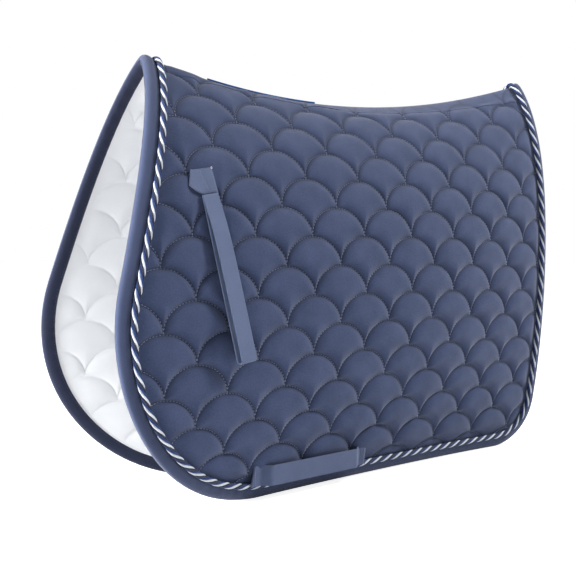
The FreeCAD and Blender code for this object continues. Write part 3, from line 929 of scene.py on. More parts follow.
@dataclass
class QuiltedFlap:
    """Cover, wadding and lining of one flap, sewn through in scallops."""

    COVER = Layer("quilted_cover", "outer_cover", "cover_cloth", 0.55)
    LINING = Layer("quilted_lining", "lining", "lining_cloth", 0.4)
    WADDING = Layer("quilted_wadding", "wadding", "wadding", 0.55)

    pattern: Pattern
    quilting: Quilting
    finishes: Finishes
    joining: Joining
    presses: list[Press]
    seam_lift: float = -1.6
    puff_height: float = 8.6
    lining_seam_lift: float = -5.0
    lining_puff: float = 3.2
    cloth: float = 1.0
    edge_inset: float = 4.5
    edge_lift: float = 0.6
    edge_lining_lift: float = -6.0
    edge_fade: tuple[float, float] = (19.0, 40.0)
    front_band: float = 3.0
    rear_band_extra: float = 17.0
    band_change: tuple[float, float] = (-120.0, 40.0)
    band_fade: float = 12.0
    least_fullness: float = 0.66
    fullness_change: tuple[float, float] = (40.0, 260.0)
    cover_gap: float = 0.3
    lining_gap: float = 0.2
    least_wadding: float = 0.4
    cover_detail: tuple[int, int] = (10, 12)
    lining_detail: tuple[int, int] = (7, 8)
    stitch_pitch: float = 4.1
    stitch_half: float = 1.45
    stitch_lift: float = 1.9
    stitch_radius: float = 0.52
    thread_inset: float = 17.5
    thread_from_spine: float = 19.0

    def held(self, x: Array, down: Array) -> tuple[Array, Array]:
        """Share of the puff left beside the binding, and beside the ridge's plain band.

        Args:
            x: Places along the pad.
            down: Distances down the cloth.

        Returns:
            The two shares, each 0 where the cloth is held flat and 1 where it is free.
        """
        spot = self.pattern.drape.base(x, down)
        inset = self.pattern.outline.inset(spot[..., 0], spot[..., 2])
        band = self.front_band + self.rear_band_extra * smooth_step(x, *self.band_change)
        return smooth_step(inset, *self.edge_fade), smooth_step(down, band, band + self.band_fade)

    def face_lift(self, x: Array, down: Array, puff: Array) -> Array:
        """Lift of the cover's face: the seam's level, plus a puff that is fuller low on the flap."""
        edge, ridge = self.held(x, down)
        lower = smooth_step(down, *self.fullness_change)
        fullness = self.least_fullness + (1.0 - self.least_fullness) * lower
        swell = 1.0 + self.unevenness(x, down)
        free = self.seam_lift + self.puff_height * fullness * swell * puff
        lift = free * edge * ridge + self.edge_lift * (1.0 - edge * ridge)
        for press in self.presses:
            lift = np.minimum(lift, np.maximum(press.limit(x, down), self.seam_lift))
        return lift

    @staticmethod
    def unevenness(x: Array, down: Array) -> Array:
        """Slow change of the puffs' height from place to place: a sine along the pad times a sine down it."""
        share, along, down_length, start = 0.10, 37.0, 23.0, 1.3
        return share * np.sin(x / along + start) * np.sin(down / down_length)

    def lining_lift(self, x: Array, down: Array, puff: Array) -> Array:
        """Lift of the lining's inner face, held flat under the binding."""
        edge, ridge = self.held(x, down)
        free = self.lining_seam_lift - self.lining_puff * puff
        return free * edge * ridge + self.edge_lining_lift * (1.0 - edge * ridge)

    def grid(self, across: int, deep: int) -> tuple[Array, Array, Array, Array]:
        """Places of a quilted grid inside the binding.

        Args:
            across: Columns in half a scallop.
            deep: Rows between one arc and the next.

        Returns:
            x, distance down, distance to the stitching, and the quads that lie on the flap.
        """
        column, row, seam, faces = self.quilting.grid(across, deep)
        x, down = self.quilting.place(column.ravel(), row.ravel())
        seam = seam.ravel()
        kept_x, kept_down = self.pattern.pulled_in(x, np.maximum(down, 0.0), self.edge_inset)
        moved = (np.abs(kept_x - x) + np.abs(kept_down - down)) > TINY
        faces = faces[~moved[faces].all(axis=1)]
        return kept_x, kept_down, seam, faces

    def build(self, side: Side) -> None:
        """Make this flap's three layers and its thread."""
        self._layers(side)
        self._thread(side)

    def _layers(self, side: Side) -> None:
        """Cover, lining and wadding, each between two lifts."""
        x, down, seam, faces = self.grid(*self.cover_detail)
        lift = self.face_lift(x, down, self.quilting.puff(seam))
        # The crease mark paints shade into the cover's colour along the stitching.
        self._layer(side, self.COVER, self.finishes.cover, (x, down, faces), (lift, lift - self.cloth),
                    {"crease_shade": crease_mark(seam)})

        x, down, seam, faces = self.grid(*self.lining_detail)
        puff = self.quilting.puff(seam)
        inside = self.lining_lift(x, down, puff)
        self._layer(side, self.LINING, self.finishes.lining, (x, down, faces), (inside + self.cloth, inside),
                    {"crease_shade": crease_mark(seam)})

        low = inside + self.cloth + self.lining_gap
        top = self.face_lift(x, down, puff) - self.cloth - self.cover_gap
        top = np.maximum(top, low + self.least_wadding)
        self._layer(side, self.WADDING, self.finishes.wadding, (x, down, faces), (top, low), {})

    def _layer(self, side: Side, layer: Layer, material: bpy.types.Material,
               places: tuple[Array, Array, Array], lifts: tuple[Array, Array],
               marks: dict[str, Array]) -> None:
        """One closed layer of the flap.

        Args:
            side: The flap.
            layer: Which layer it is.
            material: Its finish.
            places: x, distance down and quads of its grid.
            lifts: Lift of its outward and its inward face.
            marks: Values at the grid's points.
        """
        x, down, faces = places
        outer, inner = (self.pattern.drape.point(x, down, lift) for lift in lifts)
        shell = slab(outer, inner, faces[:, ::-1], np.stack([x, down], axis=-1), marks)
        piece = sewn_piece(side, layer.name, shell, [material], layer.node)
        self.joining.bend(piece)

    def _thread(self, side: Side) -> None:
        """Quilting stitches on the cover, one short bar of thread each."""
        quilting, drape = self.quilting, self.pattern.drape
        tops = []
        for row in range(quilting.first_row, quilting.last_row):
            columns = np.arange(quilting.first_column, quilting.last_column) + 0.5 * (row % 2)
            tops.append(np.stack([columns, np.full(len(columns), float(row))], axis=-1))
        top = np.concatenate(tops)
        samples = 721
        fine = np.linspace(-math.pi / 2.0, math.pi / 2.0, samples)
        path = np.stack([0.5 * quilting.pitch * np.sin(fine), -quilting.row_step * np.cos(fine)], axis=-1)
        length = run_along(path)
        count = int(length[-1] / self.stitch_pitch)
        middle = (np.arange(count) + 0.5) * length[-1] / count
        ends = []
        for offset in (-self.stitch_half, self.stitch_half):
            turn = np.interp(middle + offset, length, fine)
            column = top[:, 0, None] + 0.5 * np.sin(turn)[None, :]
            row = top[:, 1, None] + 1.0 - np.cos(turn)[None, :]
            ends.append(quilting.place(column.ravel(), row.ravel()))
        x, down = ((before + after) / 2.0 for before, after in zip(*ends))
        spot = drape.base(x, np.maximum(down, 0.0))
        inset = self.pattern.outline.inset(spot[:, 0], spot[:, 2])
        keep = (inset > self.thread_inset) & (down > 1.0) & (spot[:, 1] < -self.thread_from_spine)
        lift = (self.face_lift(x, down, np.zeros_like(x)) + self.stitch_lift)[keep]
        first, last = (drape.point(end_x[keep], end_down[keep], lift) for end_x, end_down in ends)
        shell = stitches(first, last, drape.normal(x[keep], down[keep]), self.stitch_radius)
        self.joining.bend(sewn_piece(side, "quilting_thread", shell, [self.finishes.thread]))


def stitches(first: Array, last: Array, normal: Array, radius: float) -> Shell:
    """Short bars of thread, thick in the middle and thin where they enter the cloth.

    Args:
        first: Where each stitch starts.
        last: Where it ends.
        normal: Outward normals of the cloth.
        radius: The thread's radius.

    Returns:
        One shell with three rings of four points and two ends for each stitch.
    """
    along = unit(last - first)
    up = unit(normal - along * (normal * along).sum(-1, keepdims=True))
    out = np.cross(along, up)
    places = np.array([0.0, 0.5, 1.0])
    widths = np.array([0.45, 1.0, 0.45]) * radius
    lifts = np.array([-0.35, 0.12, -0.35])
    angle = np.arange(4) * math.pi / 2.0 + math.pi / 4.0
    centre = (first[:, None, :] + (last - first)[:, None, :] * places[None, :, None]
              + up[:, None, :] * lifts[None, :, None])
    ring = (np.cos(angle)[None, None, :, None] * up[:, None, None, :]
            + np.sin(angle)[None, None, :, None] * out[:, None, None, :])
    points = centre[:, :, None, :] + ring * widths[None, :, None, None]
    count = len(first)
    one = grid_faces(3, 4, close_columns=True)[:, ::-1]
    caps = np.array([[0, 1, 2, 3], [11, 10, 9, 8]])
    quads = np.concatenate([one, caps])
    faces = (quads[None, :, :] + (np.arange(count) * 12)[:, None, None]).reshape(-1, 4)
    turns = np.broadcast_to(np.arange(4)[None, None, :] * 0.4, (count, 3, 4))
    runs = np.broadcast_to(places[None, :, None] * 3.0, (count, 3, 4))
    return Shell(points.reshape(-1, 3), [faces], np.stack([runs.ravel(), turns.ravel()], axis=-1))


def tube(path: Array, up: Array, out: Array, profile: Array) -> Shell:
    """Profile carried along a path, with a face at each end.

    Args:
        path: Centre points.
        up: Direction of the profile's second number at each point.
        out: Direction of the profile's first number at each point.
        profile: Closed ring of (out, up) offsets.

    Returns:
        The swept shell; its flat coordinates are the distances along and round.
    """
    rows, columns = len(path), len(profile)
    points = path[:, None, :] + profile[:, :1] * out[:, None, :] + profile[:, 1:] * up[:, None, :]
    edge = np.linalg.norm(np.diff(profile, axis=0, append=profile[:1]), axis=1)
    girth = np.concatenate([[0.0], np.cumsum(edge)[:-1]])
    faces = [grid_faces(rows, columns, close_columns=True), *end_faces(rows, columns)]
    return Shell(points.reshape(-1, 3), faces, flat_grid(run_along(path), girth))


@dataclass(frozen=True)
class Wave:
    """Uneven wave along a line: sin(s / length + sway sin(s / sway_length))."""

    length: float
    sway: float
    sway_length: float

    def at(self, along: Array) -> Array:
        """Height at each distance, from -1 to 1."""
        return np.sin(along / self.length + self.sway * np.sin(along / self.sway_length))


@dataclass
class EdgeBinding:
    """Tape folded round the flaps' edges and sewn through near its inner border."""

    pattern: Pattern
    finishes: Finishes
    joining: Joining
    count: int = 1100
    length: float = 1650.0
    relief: float = 0.3
    ripple: Wave = Wave(2.1, 1.7, 17.0)
    ripple_fade: float = 41.0
    pucker: Wave = Wave(2.7, 2.3, 23.0)
    # Where the edge is puckered: distance along the binding, reach and strength.
    corners: tuple[tuple[float, float, float], ...] = ((560.0, 190.0, 1.0), (1080.0, 60.0, 0.7))
    # Points of the folded tape: inset, lift, share of the ripple and share of the pucker.
    outside: tuple[tuple[float, float, float, float], ...] = (
        (15.2, 0.2, 0.0, 0.2), (15.1, 1.5, 0.0, 0.6), (14.4, 2.5, 0.0, 1.0), (11.5, 3.2, 0.0, 1.0),
        (8.0, 3.6, 0.0, 0.5), (4.5, 3.3, 0.0, 0.2), (2.0, 2.4, 0.0, 0.0), (0.6, 0.9, 0.0, 0.0),
        (0.0, -1.2, 0.2, 0.0), (0.0, -3.4, 0.35, 0.0))
    inside: tuple[tuple[float, float, float, float], ...] = (
        (0.6, -5.6, 0.5, 0.0), (2.0, -7.2, 0.8, 0.0), (4.5, -8.2, 0.9, 0.0), (8.0, -8.5, 0.9, 0.0),
        (11.5, -8.2, 1.0, 0.0), (14.4, -7.7, 1.0, 0.0), (15.6, -7.0, 0.6, 0.0), (15.8, -5.6, 0.0, 0.0))
    thread_inset: float = 13.0
    thread_lift: float = -8.35
    thread_radius: float = 0.4
    thread_points: int = 1650
    thread_step: int = 4

    def build(self, side: Side) -> None:
        """Make this flap's binding and its row of stitches on the inside."""
        profile = self.outside + self.inside
        columns = len(profile)
        rails = [self.pattern.rail(inset, lift, self.count) for inset, lift, _, _ in profile]
        lines = np.stack([line for line, _ in rails], axis=1)
        normals = np.stack([normal for _, normal in rails], axis=1)
        along = np.linspace(0.0, self.length, self.count)
        lines = lines + normals * self._shift(along, np.array(profile))[..., None]
        lines[[0, -1], :, 1] = 0.0
        quads = grid_faces(self.count, columns, close_columns=True)
        # The tape's inner face takes the second slot, the darker copy of the navy that paints the shade
        # inside the pad.
        slot_row = np.zeros(columns, np.int32)
        slot_row[len(self.outside) - 1:] = 1
        end_slot = np.zeros(1, np.int32)
        shell = Shell(lines.reshape(-1, 3), [quads, *end_faces(self.count, columns)],
                      flat_grid(along, run_along(lines[self.count // 2])),
                      slots=[np.tile(slot_row, self.count - 1), end_slot, end_slot])
        materials = [self.finishes.binding, self.finishes.binding_shaded_inside]
        self.joining.bend(sewn_piece(side, "binding_tape", shell, materials, "edge_binding"))
        self._thread(side)

    def _shift(self, along: Array, profile: Array) -> Array:
        """How far the tape's points stand off: fine ripples inside, and puckers outside at the corners."""
        ripple = self.ripple.at(along) * (0.5 + 0.5 * np.sin(along / self.ripple_fade))
        near = sum(strength * np.exp(-((along - at) / reach) ** 2) for at, reach, strength in self.corners)
        pucker = self.pucker.at(along) * near
        return self.relief * (ripple[:, None] * profile[:, 2] + pucker[:, None] * profile[:, 3])

    def _thread(self, side: Side) -> None:
        """Stitches through the binding, seen on the lining side: two of every four runs of a rail."""
        line, normal = self.pattern.rail(self.thread_inset, self.thread_lift, self.thread_points)
        step = self.thread_step
        first, last = line[2:-6:step], line[4:-4:step]
        count = min(len(first), len(last))
        shell = stitches(first[:count], last[:count], -normal[3:-5:step][:count], self.thread_radius)
        self.joining.bend(sewn_piece(side, "binding_thread", shell, [self.finishes.dark_thread]))


@dataclass
class TrimCord:
    """Six strands laid left-handed, each yarn twice, sewn inside the binding over both flaps."""

    pattern: Pattern
    finishes: Finishes
    joining: Joining
    lead: float = 41.0
    strand_radius: float = 1.48
    strand_offset: float = 2.52
    count: int = 1240
    sides: int = 8
    turn_reach: float = 16.0
    turn_passes: int = 60
    turn_share: float = 0.5
    fullness: dict[Yarn, float] = field(default_factory=lambda: {
        Yarn.WHITE: 0.96, Yarn.ROYAL: 0.88, Yarn.SLATE: 0.98})

    def build(self) -> None:
        """Make the cord as one closed run round both flaps, then split it at the spine."""
        size = self.pattern.size
        line, normal = self.pattern.rail(size.cord_inset, size.cord_lift, self.count)
        flip = np.array([1.0, -1.0, 1.0])
        path = np.concatenate([line[:-1], (line * flip)[::-1][:-1]])
        lift = np.concatenate([normal[:-1], (normal * flip)[::-1][:-1]])
        path, lift = self._rounded(path, lift)
        ahead = unit(np.roll(path, -1, axis=0) - np.roll(path, 1, axis=0))
        up = unit(lift - ahead * (lift * ahead).sum(-1, keepdims=True))
        out = np.cross(ahead, up)
        steps = np.linalg.norm(np.roll(path, -1, axis=0) - path, axis=1)
        along = np.concatenate([[0.0], np.cumsum(steps)[:-1]])
        total = float(steps.sum())
        turns = round(total / self.lead)
        half = self.count - 1
        strands = 2 * len(Yarn)
        LOG.info("cord: %.0f mm round both flaps, %.2f mm lead", total, total / turns)
        spans = {Side.NEAR: np.arange(half + 1), Side.OFF: np.arange(half, 2 * half + 1) % (2 * half)}
        for side, span in spans.items():
            shells = []
            for strand in range(strands):
                yarn = Yarn(strand % len(Yarn))
                phase = -2.0 * math.pi * (turns * along / total + strand / strands)
                push = np.cos(phase)[:, None] * up + np.sin(phase)[:, None] * out
                turned = -np.sin(phase)[:, None] * up + np.cos(phase)[:, None] * out
                centre = path + push * self.strand_offset
                ring = round_ring(self.sides, self.strand_radius * self.fullness[yarn])
                shell = tube(centre[span], push[span], turned[span], ring)
                shell.slots = [np.full(len(face), yarn.value, np.int32) for face in shell.faces]
                shells.append(shell)
            piece = make_piece(side.name("twisted_cord"), joined(shells),
                               [self.finishes.yarns[yarn] for yarn in Yarn])
            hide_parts(side.name("trim_cord"))
            self.joining.bend(piece)

    def _rounded(self, path: Array, lift: Array) -> tuple[Array, Array]:
        """The closed run with its turns over the spine rounded."""
        share = self.turn_share * np.exp(-(np.abs(path[:, 1]) / self.turn_reach) ** 4)[:, None]

        def eased(values: Array) -> Array:
            """Values moved by their share towards the mean of the two beside them."""
            beside = np.roll(values, 1, axis=0) + np.roll(values, -1, axis=0)
            return values + share * (beside / 2.0 - values)

        for _ in range(self.turn_passes):
            path, lift = eased(path), eased(lift)
        return path, unit(lift)


@dataclass
class SpineTapes:
    """Tapes over and under the ridge that join the two flaps, with a piping along the top."""

    flap: QuiltedFlap
    half_width: float = 20.0
    thickness: float = 0.8
    face_gap: float = 0.4
    cover_ends: tuple[float, float] = (-270.0, 336.0)
    lining_ends: tuple[float, float] = (-286.0, 348.0)
    points_along: int = 420
    points_across: int = 33
    piping_ends: tuple[float, float] = (-205.0, -40.0)
    piping_points: int = 150
    piping_lift: float = 2.0
    piping_radius: float = 1.2
    piping_sides: int = 10

    def build(self) -> None:
        """Make both tapes and the piping."""
        finishes = self.flap.finishes
        self._tape("spine_cover_tape", "spine_tape_outer", self.cover_ends, True, finishes.cover)
        self._tape("spine_lining_tape", "spine_tape_inner", self.lining_ends, False, finishes.lining)
        self._piping()

    def _tape(self, name: str, node: str, ends: tuple[float, float], outside: bool,
              material: bpy.types.Material) -> None:
        """One tape: a strip across the ridge that follows the quilted face on which it lies.

        Args:
            name: The piece's name.
            node: The node that it stands for.
            ends: x of its two ends.
            outside: Whether it lies on the cover, or else on the lining.
            material: Its finish.
        """
        flap = self.flap
        drape = flap.pattern.drape
        x = np.linspace(*ends, self.points_along)[:, None]
        share = np.linspace(-1.0, 1.0, self.points_across)[None, :]
        down = np.abs(share) * self.half_width / np.cos(drape.ridge_slope(x))
        x, down, share = np.broadcast_arrays(x, down, share)
        seam = flap.quilting.seam_at(x, down)
        puff = flap.quilting.puff(seam)
        if outside:
            upper = flap.face_lift(x, down, puff) + self.face_gap
        else:
            upper = flap.lining_lift(x, down, puff) - self.face_gap
        flip = np.where(share > 0, -1.0, 1.0)
        top, low = (drape.point(x, down, lift) for lift in (upper, upper - self.thickness))
        top[..., 1] *= flip
        low[..., 1] *= flip
        uv = np.stack([x, share * self.half_width], axis=-1).reshape(-1, 2)
        # The crease mark paints shade into the cover tape's colour; the lining tape gets none.
        marks = {"crease_shade": crease_mark(seam).ravel() * outside}
        shell = slab(top.reshape(-1, 3), low.reshape(-1, 3), grid_faces(*x.shape), uv, marks)
        piece = make_piece(name, shell, [material])
        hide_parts(node)
        flap.joining.bend(piece)
        flat = (self.half_width * 2.0 * MM, (ends[1] - ends[0]) * MM)

    def _piping(self) -> None:
        """Thin royal-blue piping along part of the ridge."""
        x = np.linspace(*self.piping_ends, self.piping_points)
        path = self.flap.pattern.drape.point(x, np.zeros_like(x), np.full_like(x, self.piping_lift))
        ahead = unit(np.gradient(path, axis=0))
        up = unit(np.cross(np.array([0.0, 1.0, 0.0]), ahead))
        shell = tube(path, up, np.cross(ahead, up), round_ring(self.piping_sides, self.piping_radius))
        piece = make_piece("spine_piping", shell, [self.flap.finishes.piping])
        self.flap.joining.bend(piece)


# --------------------------------------------------------------------------- straps


@dataclass
class Place:
    """A flat piece's own axes: x along it, y across it and z off the cloth."""

    origin: Array
    along: Array
    across: Array
    outward: Array

    @classmethod
    def at(cls, origin: Array, along: Array, outward: Array) -> "Place":
        """Axes from a direction along and a rough direction outwards."""
        ex = unit(along)
        ez = unit(outward - ex * float(outward @ ex))
        return cls(origin, ex, np.cross(ez, ex), ez)

    def shifted(self, x: float, y: float, z: float) -> "Place":
        """The same axes from another origin, given in this place's own axes."""
        return Place(self.points(np.array([[x, y, z]]))[0], self.along, self.across, self.outward)

    def points(self, local: Array) -> Array:
        """Points given in these axes, as points of the pad."""
        return self.origin + local @ np.stack([self.along, self.across, self.outward])


def webbing(place: Place, path: Array, width: float, thickness: float, shear: float = 0.0) -> Shell:
    """Flat woven strap that follows a path in its place's x and z.

    Args:
        place: The strap's axes.
        path: (x, z) of the strap's middle, close together.
        width: The webbing's width.
        thickness: The webbing's thickness.
        shear: How far an end's cut leans along the strap from edge to edge.

    Returns:
        A strap with rounded selvedges and its flat coordinates along and across.
    """
    step, level_columns = 1.6, 9
    path = spaced(path, step)
    ahead = unit(np.gradient(path, axis=0))
    normal = np.stack([-ahead[:, 1], ahead[:, 0]], axis=-1)
    half, edge = width / 2.0, thickness / 2.0
    selvedge = edge * np.array([0.0, 0.15, 0.5, 1.0])
    level = half - edge * 2.2
    flat = np.linspace(-level, level, level_columns)
    across = np.concatenate([selvedge - half, flat, half - selvedge[::-1]])
    past = np.clip((np.abs(across) - half + edge) / edge, 0.0, 1.0)
    bulge = edge * np.sqrt(1.0 - past ** 2)
    ring_y = np.concatenate([across, across[-2:0:-1]])
    ring_z = np.concatenate([bulge, -bulge[-2:0:-1]])
    ring_uv = np.concatenate([across, -across[-2:0:-1] + width * 2.0])
    lean = shear * ring_y / width
    x = path[:, 0, None] + normal[:, 0, None] * ring_z[None, :] + ahead[:, 0, None] * lean[None, :]
    z = path[:, 1, None] + normal[:, 1, None] * ring_z[None, :] + ahead[:, 1, None] * lean[None, :]
    y = np.broadcast_to(ring_y[None, :], x.shape)
    points = place.points(np.stack([x, y, z], axis=-1).reshape(-1, 3))
    faces = [grid_faces(*x.shape, close_columns=True), *end_faces(*x.shape)]
    return Shell(points, [face[:, ::-1] for face in faces], flat_grid(run_along(path), ring_uv))


def spaced(path: Array, step: float) -> Array:
    """The same line with its points evenly spaced."""
    along = run_along(path)
    even = np.linspace(0.0, along[-1], max(3, int(round(along[-1] / step)) + 1))
    return np.stack([np.interp(even, along, path[:, k]) for k in range(path.shape[1])], axis=-1)


def rounded_path(corners: Sequence[tuple[float, float]], radius: float) -> Array:
    """Line through corners whose turns are quadratic curves that start radius before each corner."""
    most, turn_points, step = 0.49, 12, 0.8
    points = np.array(corners, float)
    out = [points[0]]
    t = np.linspace(0.0, 1.0, turn_points)[:, None]
    for before, corner, after in zip(points, points[1:], points[2:]):
        back = min(radius, most * np.linalg.norm(corner - before))
        on = min(radius, most * np.linalg.norm(after - corner))
        start = corner + unit(before - corner) * back
        end = corner + unit(after - corner) * on
        out.extend((1 - t) ** 2 * start + 2 * t * (1 - t) * corner + t ** 2 * end)
    out.append(points[-1])
    return spaced(np.array(out), step)


def plate(place: Place, corners: Sequence[tuple[float, float]], low: float, high: float,
          rounding: float = 0.6) -> Shell:
    """Flat folded webbing cut to a polygon, with softened edges.

    Args:
        place: The plate's axes.
        corners: Corner points in x and y, anticlockwise seen from outside.
        low: Underside's height.
        high: Upper side's height.
        rounding: How far the edges are rounded.

    Returns:
        A closed plate whose flat coordinates are its own x and y.
    """
    ring = np.array(corners, float)
    side_points, shares = 9, (0.25, 0.5, 0.75)
    turned = np.roll(ring, -1, axis=0)
    dense = np.concatenate([np.linspace(*ends, side_points)[:-1] for ends in zip(ring, turned)])
    middle = dense.mean(axis=0)
    inward = unit(middle - dense)
    levels = [(0.0, low), (0.0, high - rounding), (rounding * 0.35, high - rounding * 0.3),
              (rounding * 1.1, high)]
    rows = [np.column_stack([dense + inward * shift, np.full(len(dense), z)]) for shift, z in levels]
    for share in shares:
        rows.append(np.column_stack([dense + (middle - dense) * share, np.full(len(dense), high)]))
    local = np.concatenate(rows + [np.array([[*middle, high]])])
    size = len(dense)
    quads = grid_faces(len(rows), size, close_columns=True)
    tip = len(local) - 1
    ring_ids = np.arange(size) + (len(rows) - 1) * size
    fan = np.stack([ring_ids, np.roll(ring_ids, -1), np.full(size, tip)], axis=-1)
    base = np.arange(size)[None, ::-1]
    return Shell(place.points(local), [quads, fan, base], local[:, :2].copy())


def thread_line(place: Place, corners: Sequence[tuple[float, float]], z: float, length: float,
                radius: float) -> Shell:
    """Row of stitches along a line on a flat piece.

    Args:
        place: The flat piece's axes.
        corners: The line's corners in x and y.
        z: Height of the piece's face.
        length: One stitch's length, gap included.
        radius: The thread's radius.

    Returns:
        The stitches.
    """
    shown_half, step = 0.36 * length, 0.2
    path = spaced(np.array(corners, float), step)
    along = run_along(path)
    count = max(1, int(along[-1] / length))
    middle = (np.arange(count) + 0.5) * along[-1] / count
    ends = []
    for offset in (-shown_half, shown_half):
        flat = np.stack([np.interp(middle + offset, along, path[:, k]) for k in range(2)], axis=-1)
        ends.append(place.points(np.column_stack([flat, np.full(count, z)])))
    return stitches(ends[0], ends[1], np.broadcast_to(place.outward, ends[0].shape), radius)


def loose_ends(place: Place, starts: Array, lengths: Array, seed: int, radius: float = 0.35) -> Shell:
    """Short loose threads that stand off a cut end.

    Args:
        place: The strap's axes.
        starts: Root of each thread, in the strap's own axes.
        lengths: Each thread's reach, in the strap's own axes.
        seed: Seed for the threads' bends.
        radius: The threads' radius.

    Returns:
        Thin curved tubes.
    """
    spread, bow, points, sides = 0.9, 0.6, 6, 5
    luck = np.random.default_rng(seed)
    t = np.linspace(0.0, 1.0, points)[:, None]
    shells = []
    for start, reach in zip(starts, lengths):
        bend = luck.normal(0.0, spread, 3)
        path = place.points(start + reach * t + bend * np.sin(t * math.pi) * bow)
        ahead = unit(np.gradient(path, axis=0))
        up = unit(place.outward - ahead * (ahead @ place.outward)[:, None] + TINY)
        shells.append(tube(path, up, np.cross(ahead, up), round_ring(sides, radius)))
    return joined(shells)


@dataclass
class BilletLoop:
    """Hanging loop for the girth billet: anchor patch, tack and a folded webbing strap."""

    pattern: Pattern
    finishes: Finishes
    width: float = 20.5
    length: float = 196.0
    gap: float = 8.6
    flare: float = 42.0
    top: tuple[float, float] = (-255.5, 188.0)
    end: tuple[float, float] = (-225.0, 378.0)
    top_lift: float = 3.4
    end_lift: float = 16.0
    patch_height: float = 31.0
    patch_width: float = 27.0
    patch_lift: float = 0.5
    layer_gap: float = 0.3
    patch_press_half: float = 17.0
    patch_press_cap: float = 2.0
    press_start: float = 6.0
    press_step: float = 12.0
    press_half_along: float = 13.0
    press_half_down: float = 9.0
    press_clearance: float = 1.6
    fold_radius: float = 4.6
    fold_margin: float = 1.2
    return_share: float = 0.75
    tack_pitch: float = 1.7
    tack_radius: float = 0.4
    hem_pitch: float = 2.6
    hem_radius: float = 0.32
    loose_radius: float = 0.45
    loose_seed: int = 5

    def strap_place(self) -> Place:
        """Axes of the strap, from its sewn line to its fold."""
        drape, face = self.pattern.drape, self.pattern.size.cloth_face
        top = drape.raw_point(*np.array([*self.top, face + self.top_lift]))
        end = drape.raw_point(*np.array([*self.end, face + self.end_lift]))
        return Place.at(top, end - top, drape.normal(*np.array(self.top)))

    def patch_press(self) -> Press:
        """The cloth under the patch, held just below it."""
        x, down, _ = self.patch_centre()
        return Press(x, down, self.patch_press_half, self.patch_press_half, self.patch_press_cap)

    def presses(self) -> list[Press]:
        """The cloth under the strap, held just below the strap's back."""
        drape = self.pattern.drape
        along = np.arange(self.press_start, self.length, self.press_step)
        backs = self.strap_place().points(np.outer(along, [1.0, 0.0, 0.0]))
        level = np.zeros(len(backs))
        x, down = drape.locate(backs[:, 0], backs[:, 2], level)
        across = (drape.base(x, down)[:, 1] - backs[:, 1]) * -drape.normal(x, down)[:, 1]
        return [Press(at, below, self.press_half_along, self.press_half_down, lift - self.press_clearance)
                for at, below, lift in zip(x, down, across)]

    def patch_centre(self) -> tuple[float, float, Array]:
        """x and distance down of the patch's middle, and the strap's lean there."""
        run = unit(np.array([self.end[0] - self.top[0], self.end[1] - self.top[1]]))
        back = self.patch_height / 2.0 + self.layer_gap
        return self.top[0] - run[0] * back, self.top[1] - run[1] * back, run

    def patch_place(self) -> Place:
        """Axes of the patch, from its upper front corner."""
        drape = self.pattern.drape
        x, down, run = self.patch_centre()
        at_x, at_down = np.array(x), np.array(down)
        below = drape.base(at_x + run[0], at_down + run[1])
        above = drape.base(at_x - run[0], at_down - run[1])
        seat = drape.raw_point(at_x, at_down, np.array(self.pattern.size.cloth_face + self.patch_lift))
        middle = Place.at(seat, below - above, drape.normal(at_x, at_down))
        return middle.shifted(-self.patch_height / 2.0, -self.patch_width / 2.0, 0.0)

    def build(self, side: Side) -> None:
        """Make the loop, the patch and its thread."""
        loop = webbing(self.strap_place(), self._loop_path(), self.width, self.pattern.size.webbing_thickness)
        piece = sewn_piece(side, "billet_loop", loop, [self.finishes.webbing], "billet_strap")
        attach(piece, side.name("billet"))

        patch = self.patch_place()
        piece = sewn_piece(side, "billet_anchor", self._patch(patch), [self.finishes.webbing],
                           "billet_patch")
        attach(piece, side.body)
        piece = sewn_piece(side, "billet_bar_tack", self._stitching(patch), [self.finishes.thread],
                           "billet_tack")
        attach(piece, side.body)
        piece = sewn_piece(side, "billet_thread_end", self._thread_end(patch), [self.finishes.white_thread])
        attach(piece, side.body)

    def _loop_path(self) -> Array:
        """(x, z) of the strap's middle: down the front, round the fold and back up to the sewn line."""
        thick = self.pattern.size.webbing_thickness
        far, front = self.gap + thick * 1.5, thick * 0.5
        tip, turn = self.length - self.fold_margin, (self.length * self.return_share, far)
        fold = rounded_path([(0.0, front), (tip, front), (tip, far), turn], self.fold_radius)
        rise = rounded_path([turn, (self.flare * 1.2, far * 0.93), (0.0, thick * 1.5)], self.flare)
        return np.concatenate([fold, rise[1:]])

    def _patch(self, patch: Place) -> Shell:
        """The anchor patch: a square layer, with the webbing's end folded over it at a slant."""
        thick = self.pattern.size.webbing_thickness
        width, height = self.patch_width, self.patch_height
        under = plate(patch, [(0.5, -1.0), (height, 5.5), (height, width), (0.0, width)], 0.0, thick)
        over = plate(patch, [(0.0, -2.0), (height * 0.6, -9.0), (height * 0.8, -3.0), (height, 6.0),
                             (height, 16.0), (3.0, 10.0)], thick, thick * 2.0)
        return joined([under, over])

    def _stitching(self, patch: Place) -> Shell:
        """Two close rows across the patch's foot, and a row round its free corner."""
        thick = self.pattern.size.webbing_thickness
        width, height = self.patch_width, self.patch_height
        rows = [thread_line(patch, [(height - back, 7.5), (height - back + 0.6, width - 1.8)], thick * 2.05,
                            self.tack_pitch, self.tack_radius) for back in (4.0, 2.4)]
        hem = [(2.2, 17.0), (2.0, width - 2.0), (height - 4.0, width - 2.0)]
        rows.append(thread_line(patch, hem, thick * 1.05, self.hem_pitch, self.hem_radius))
        return joined(rows)

    def _thread_end(self, patch: Place) -> Shell:
        """Two loose white threads at the patch's upper corner."""
        height = self.pattern.size.webbing_thickness + 0.3
        starts = np.array([[1.4, self.patch_width - 1.2, height], [1.8, self.patch_width - 1.8, height]])
        reach = np.array([[-1.4, 0.8, 1.2], [-0.6, 1.6, 0.9]])
        return loose_ends(patch, starts, reach, self.loose_seed, self.loose_radius)


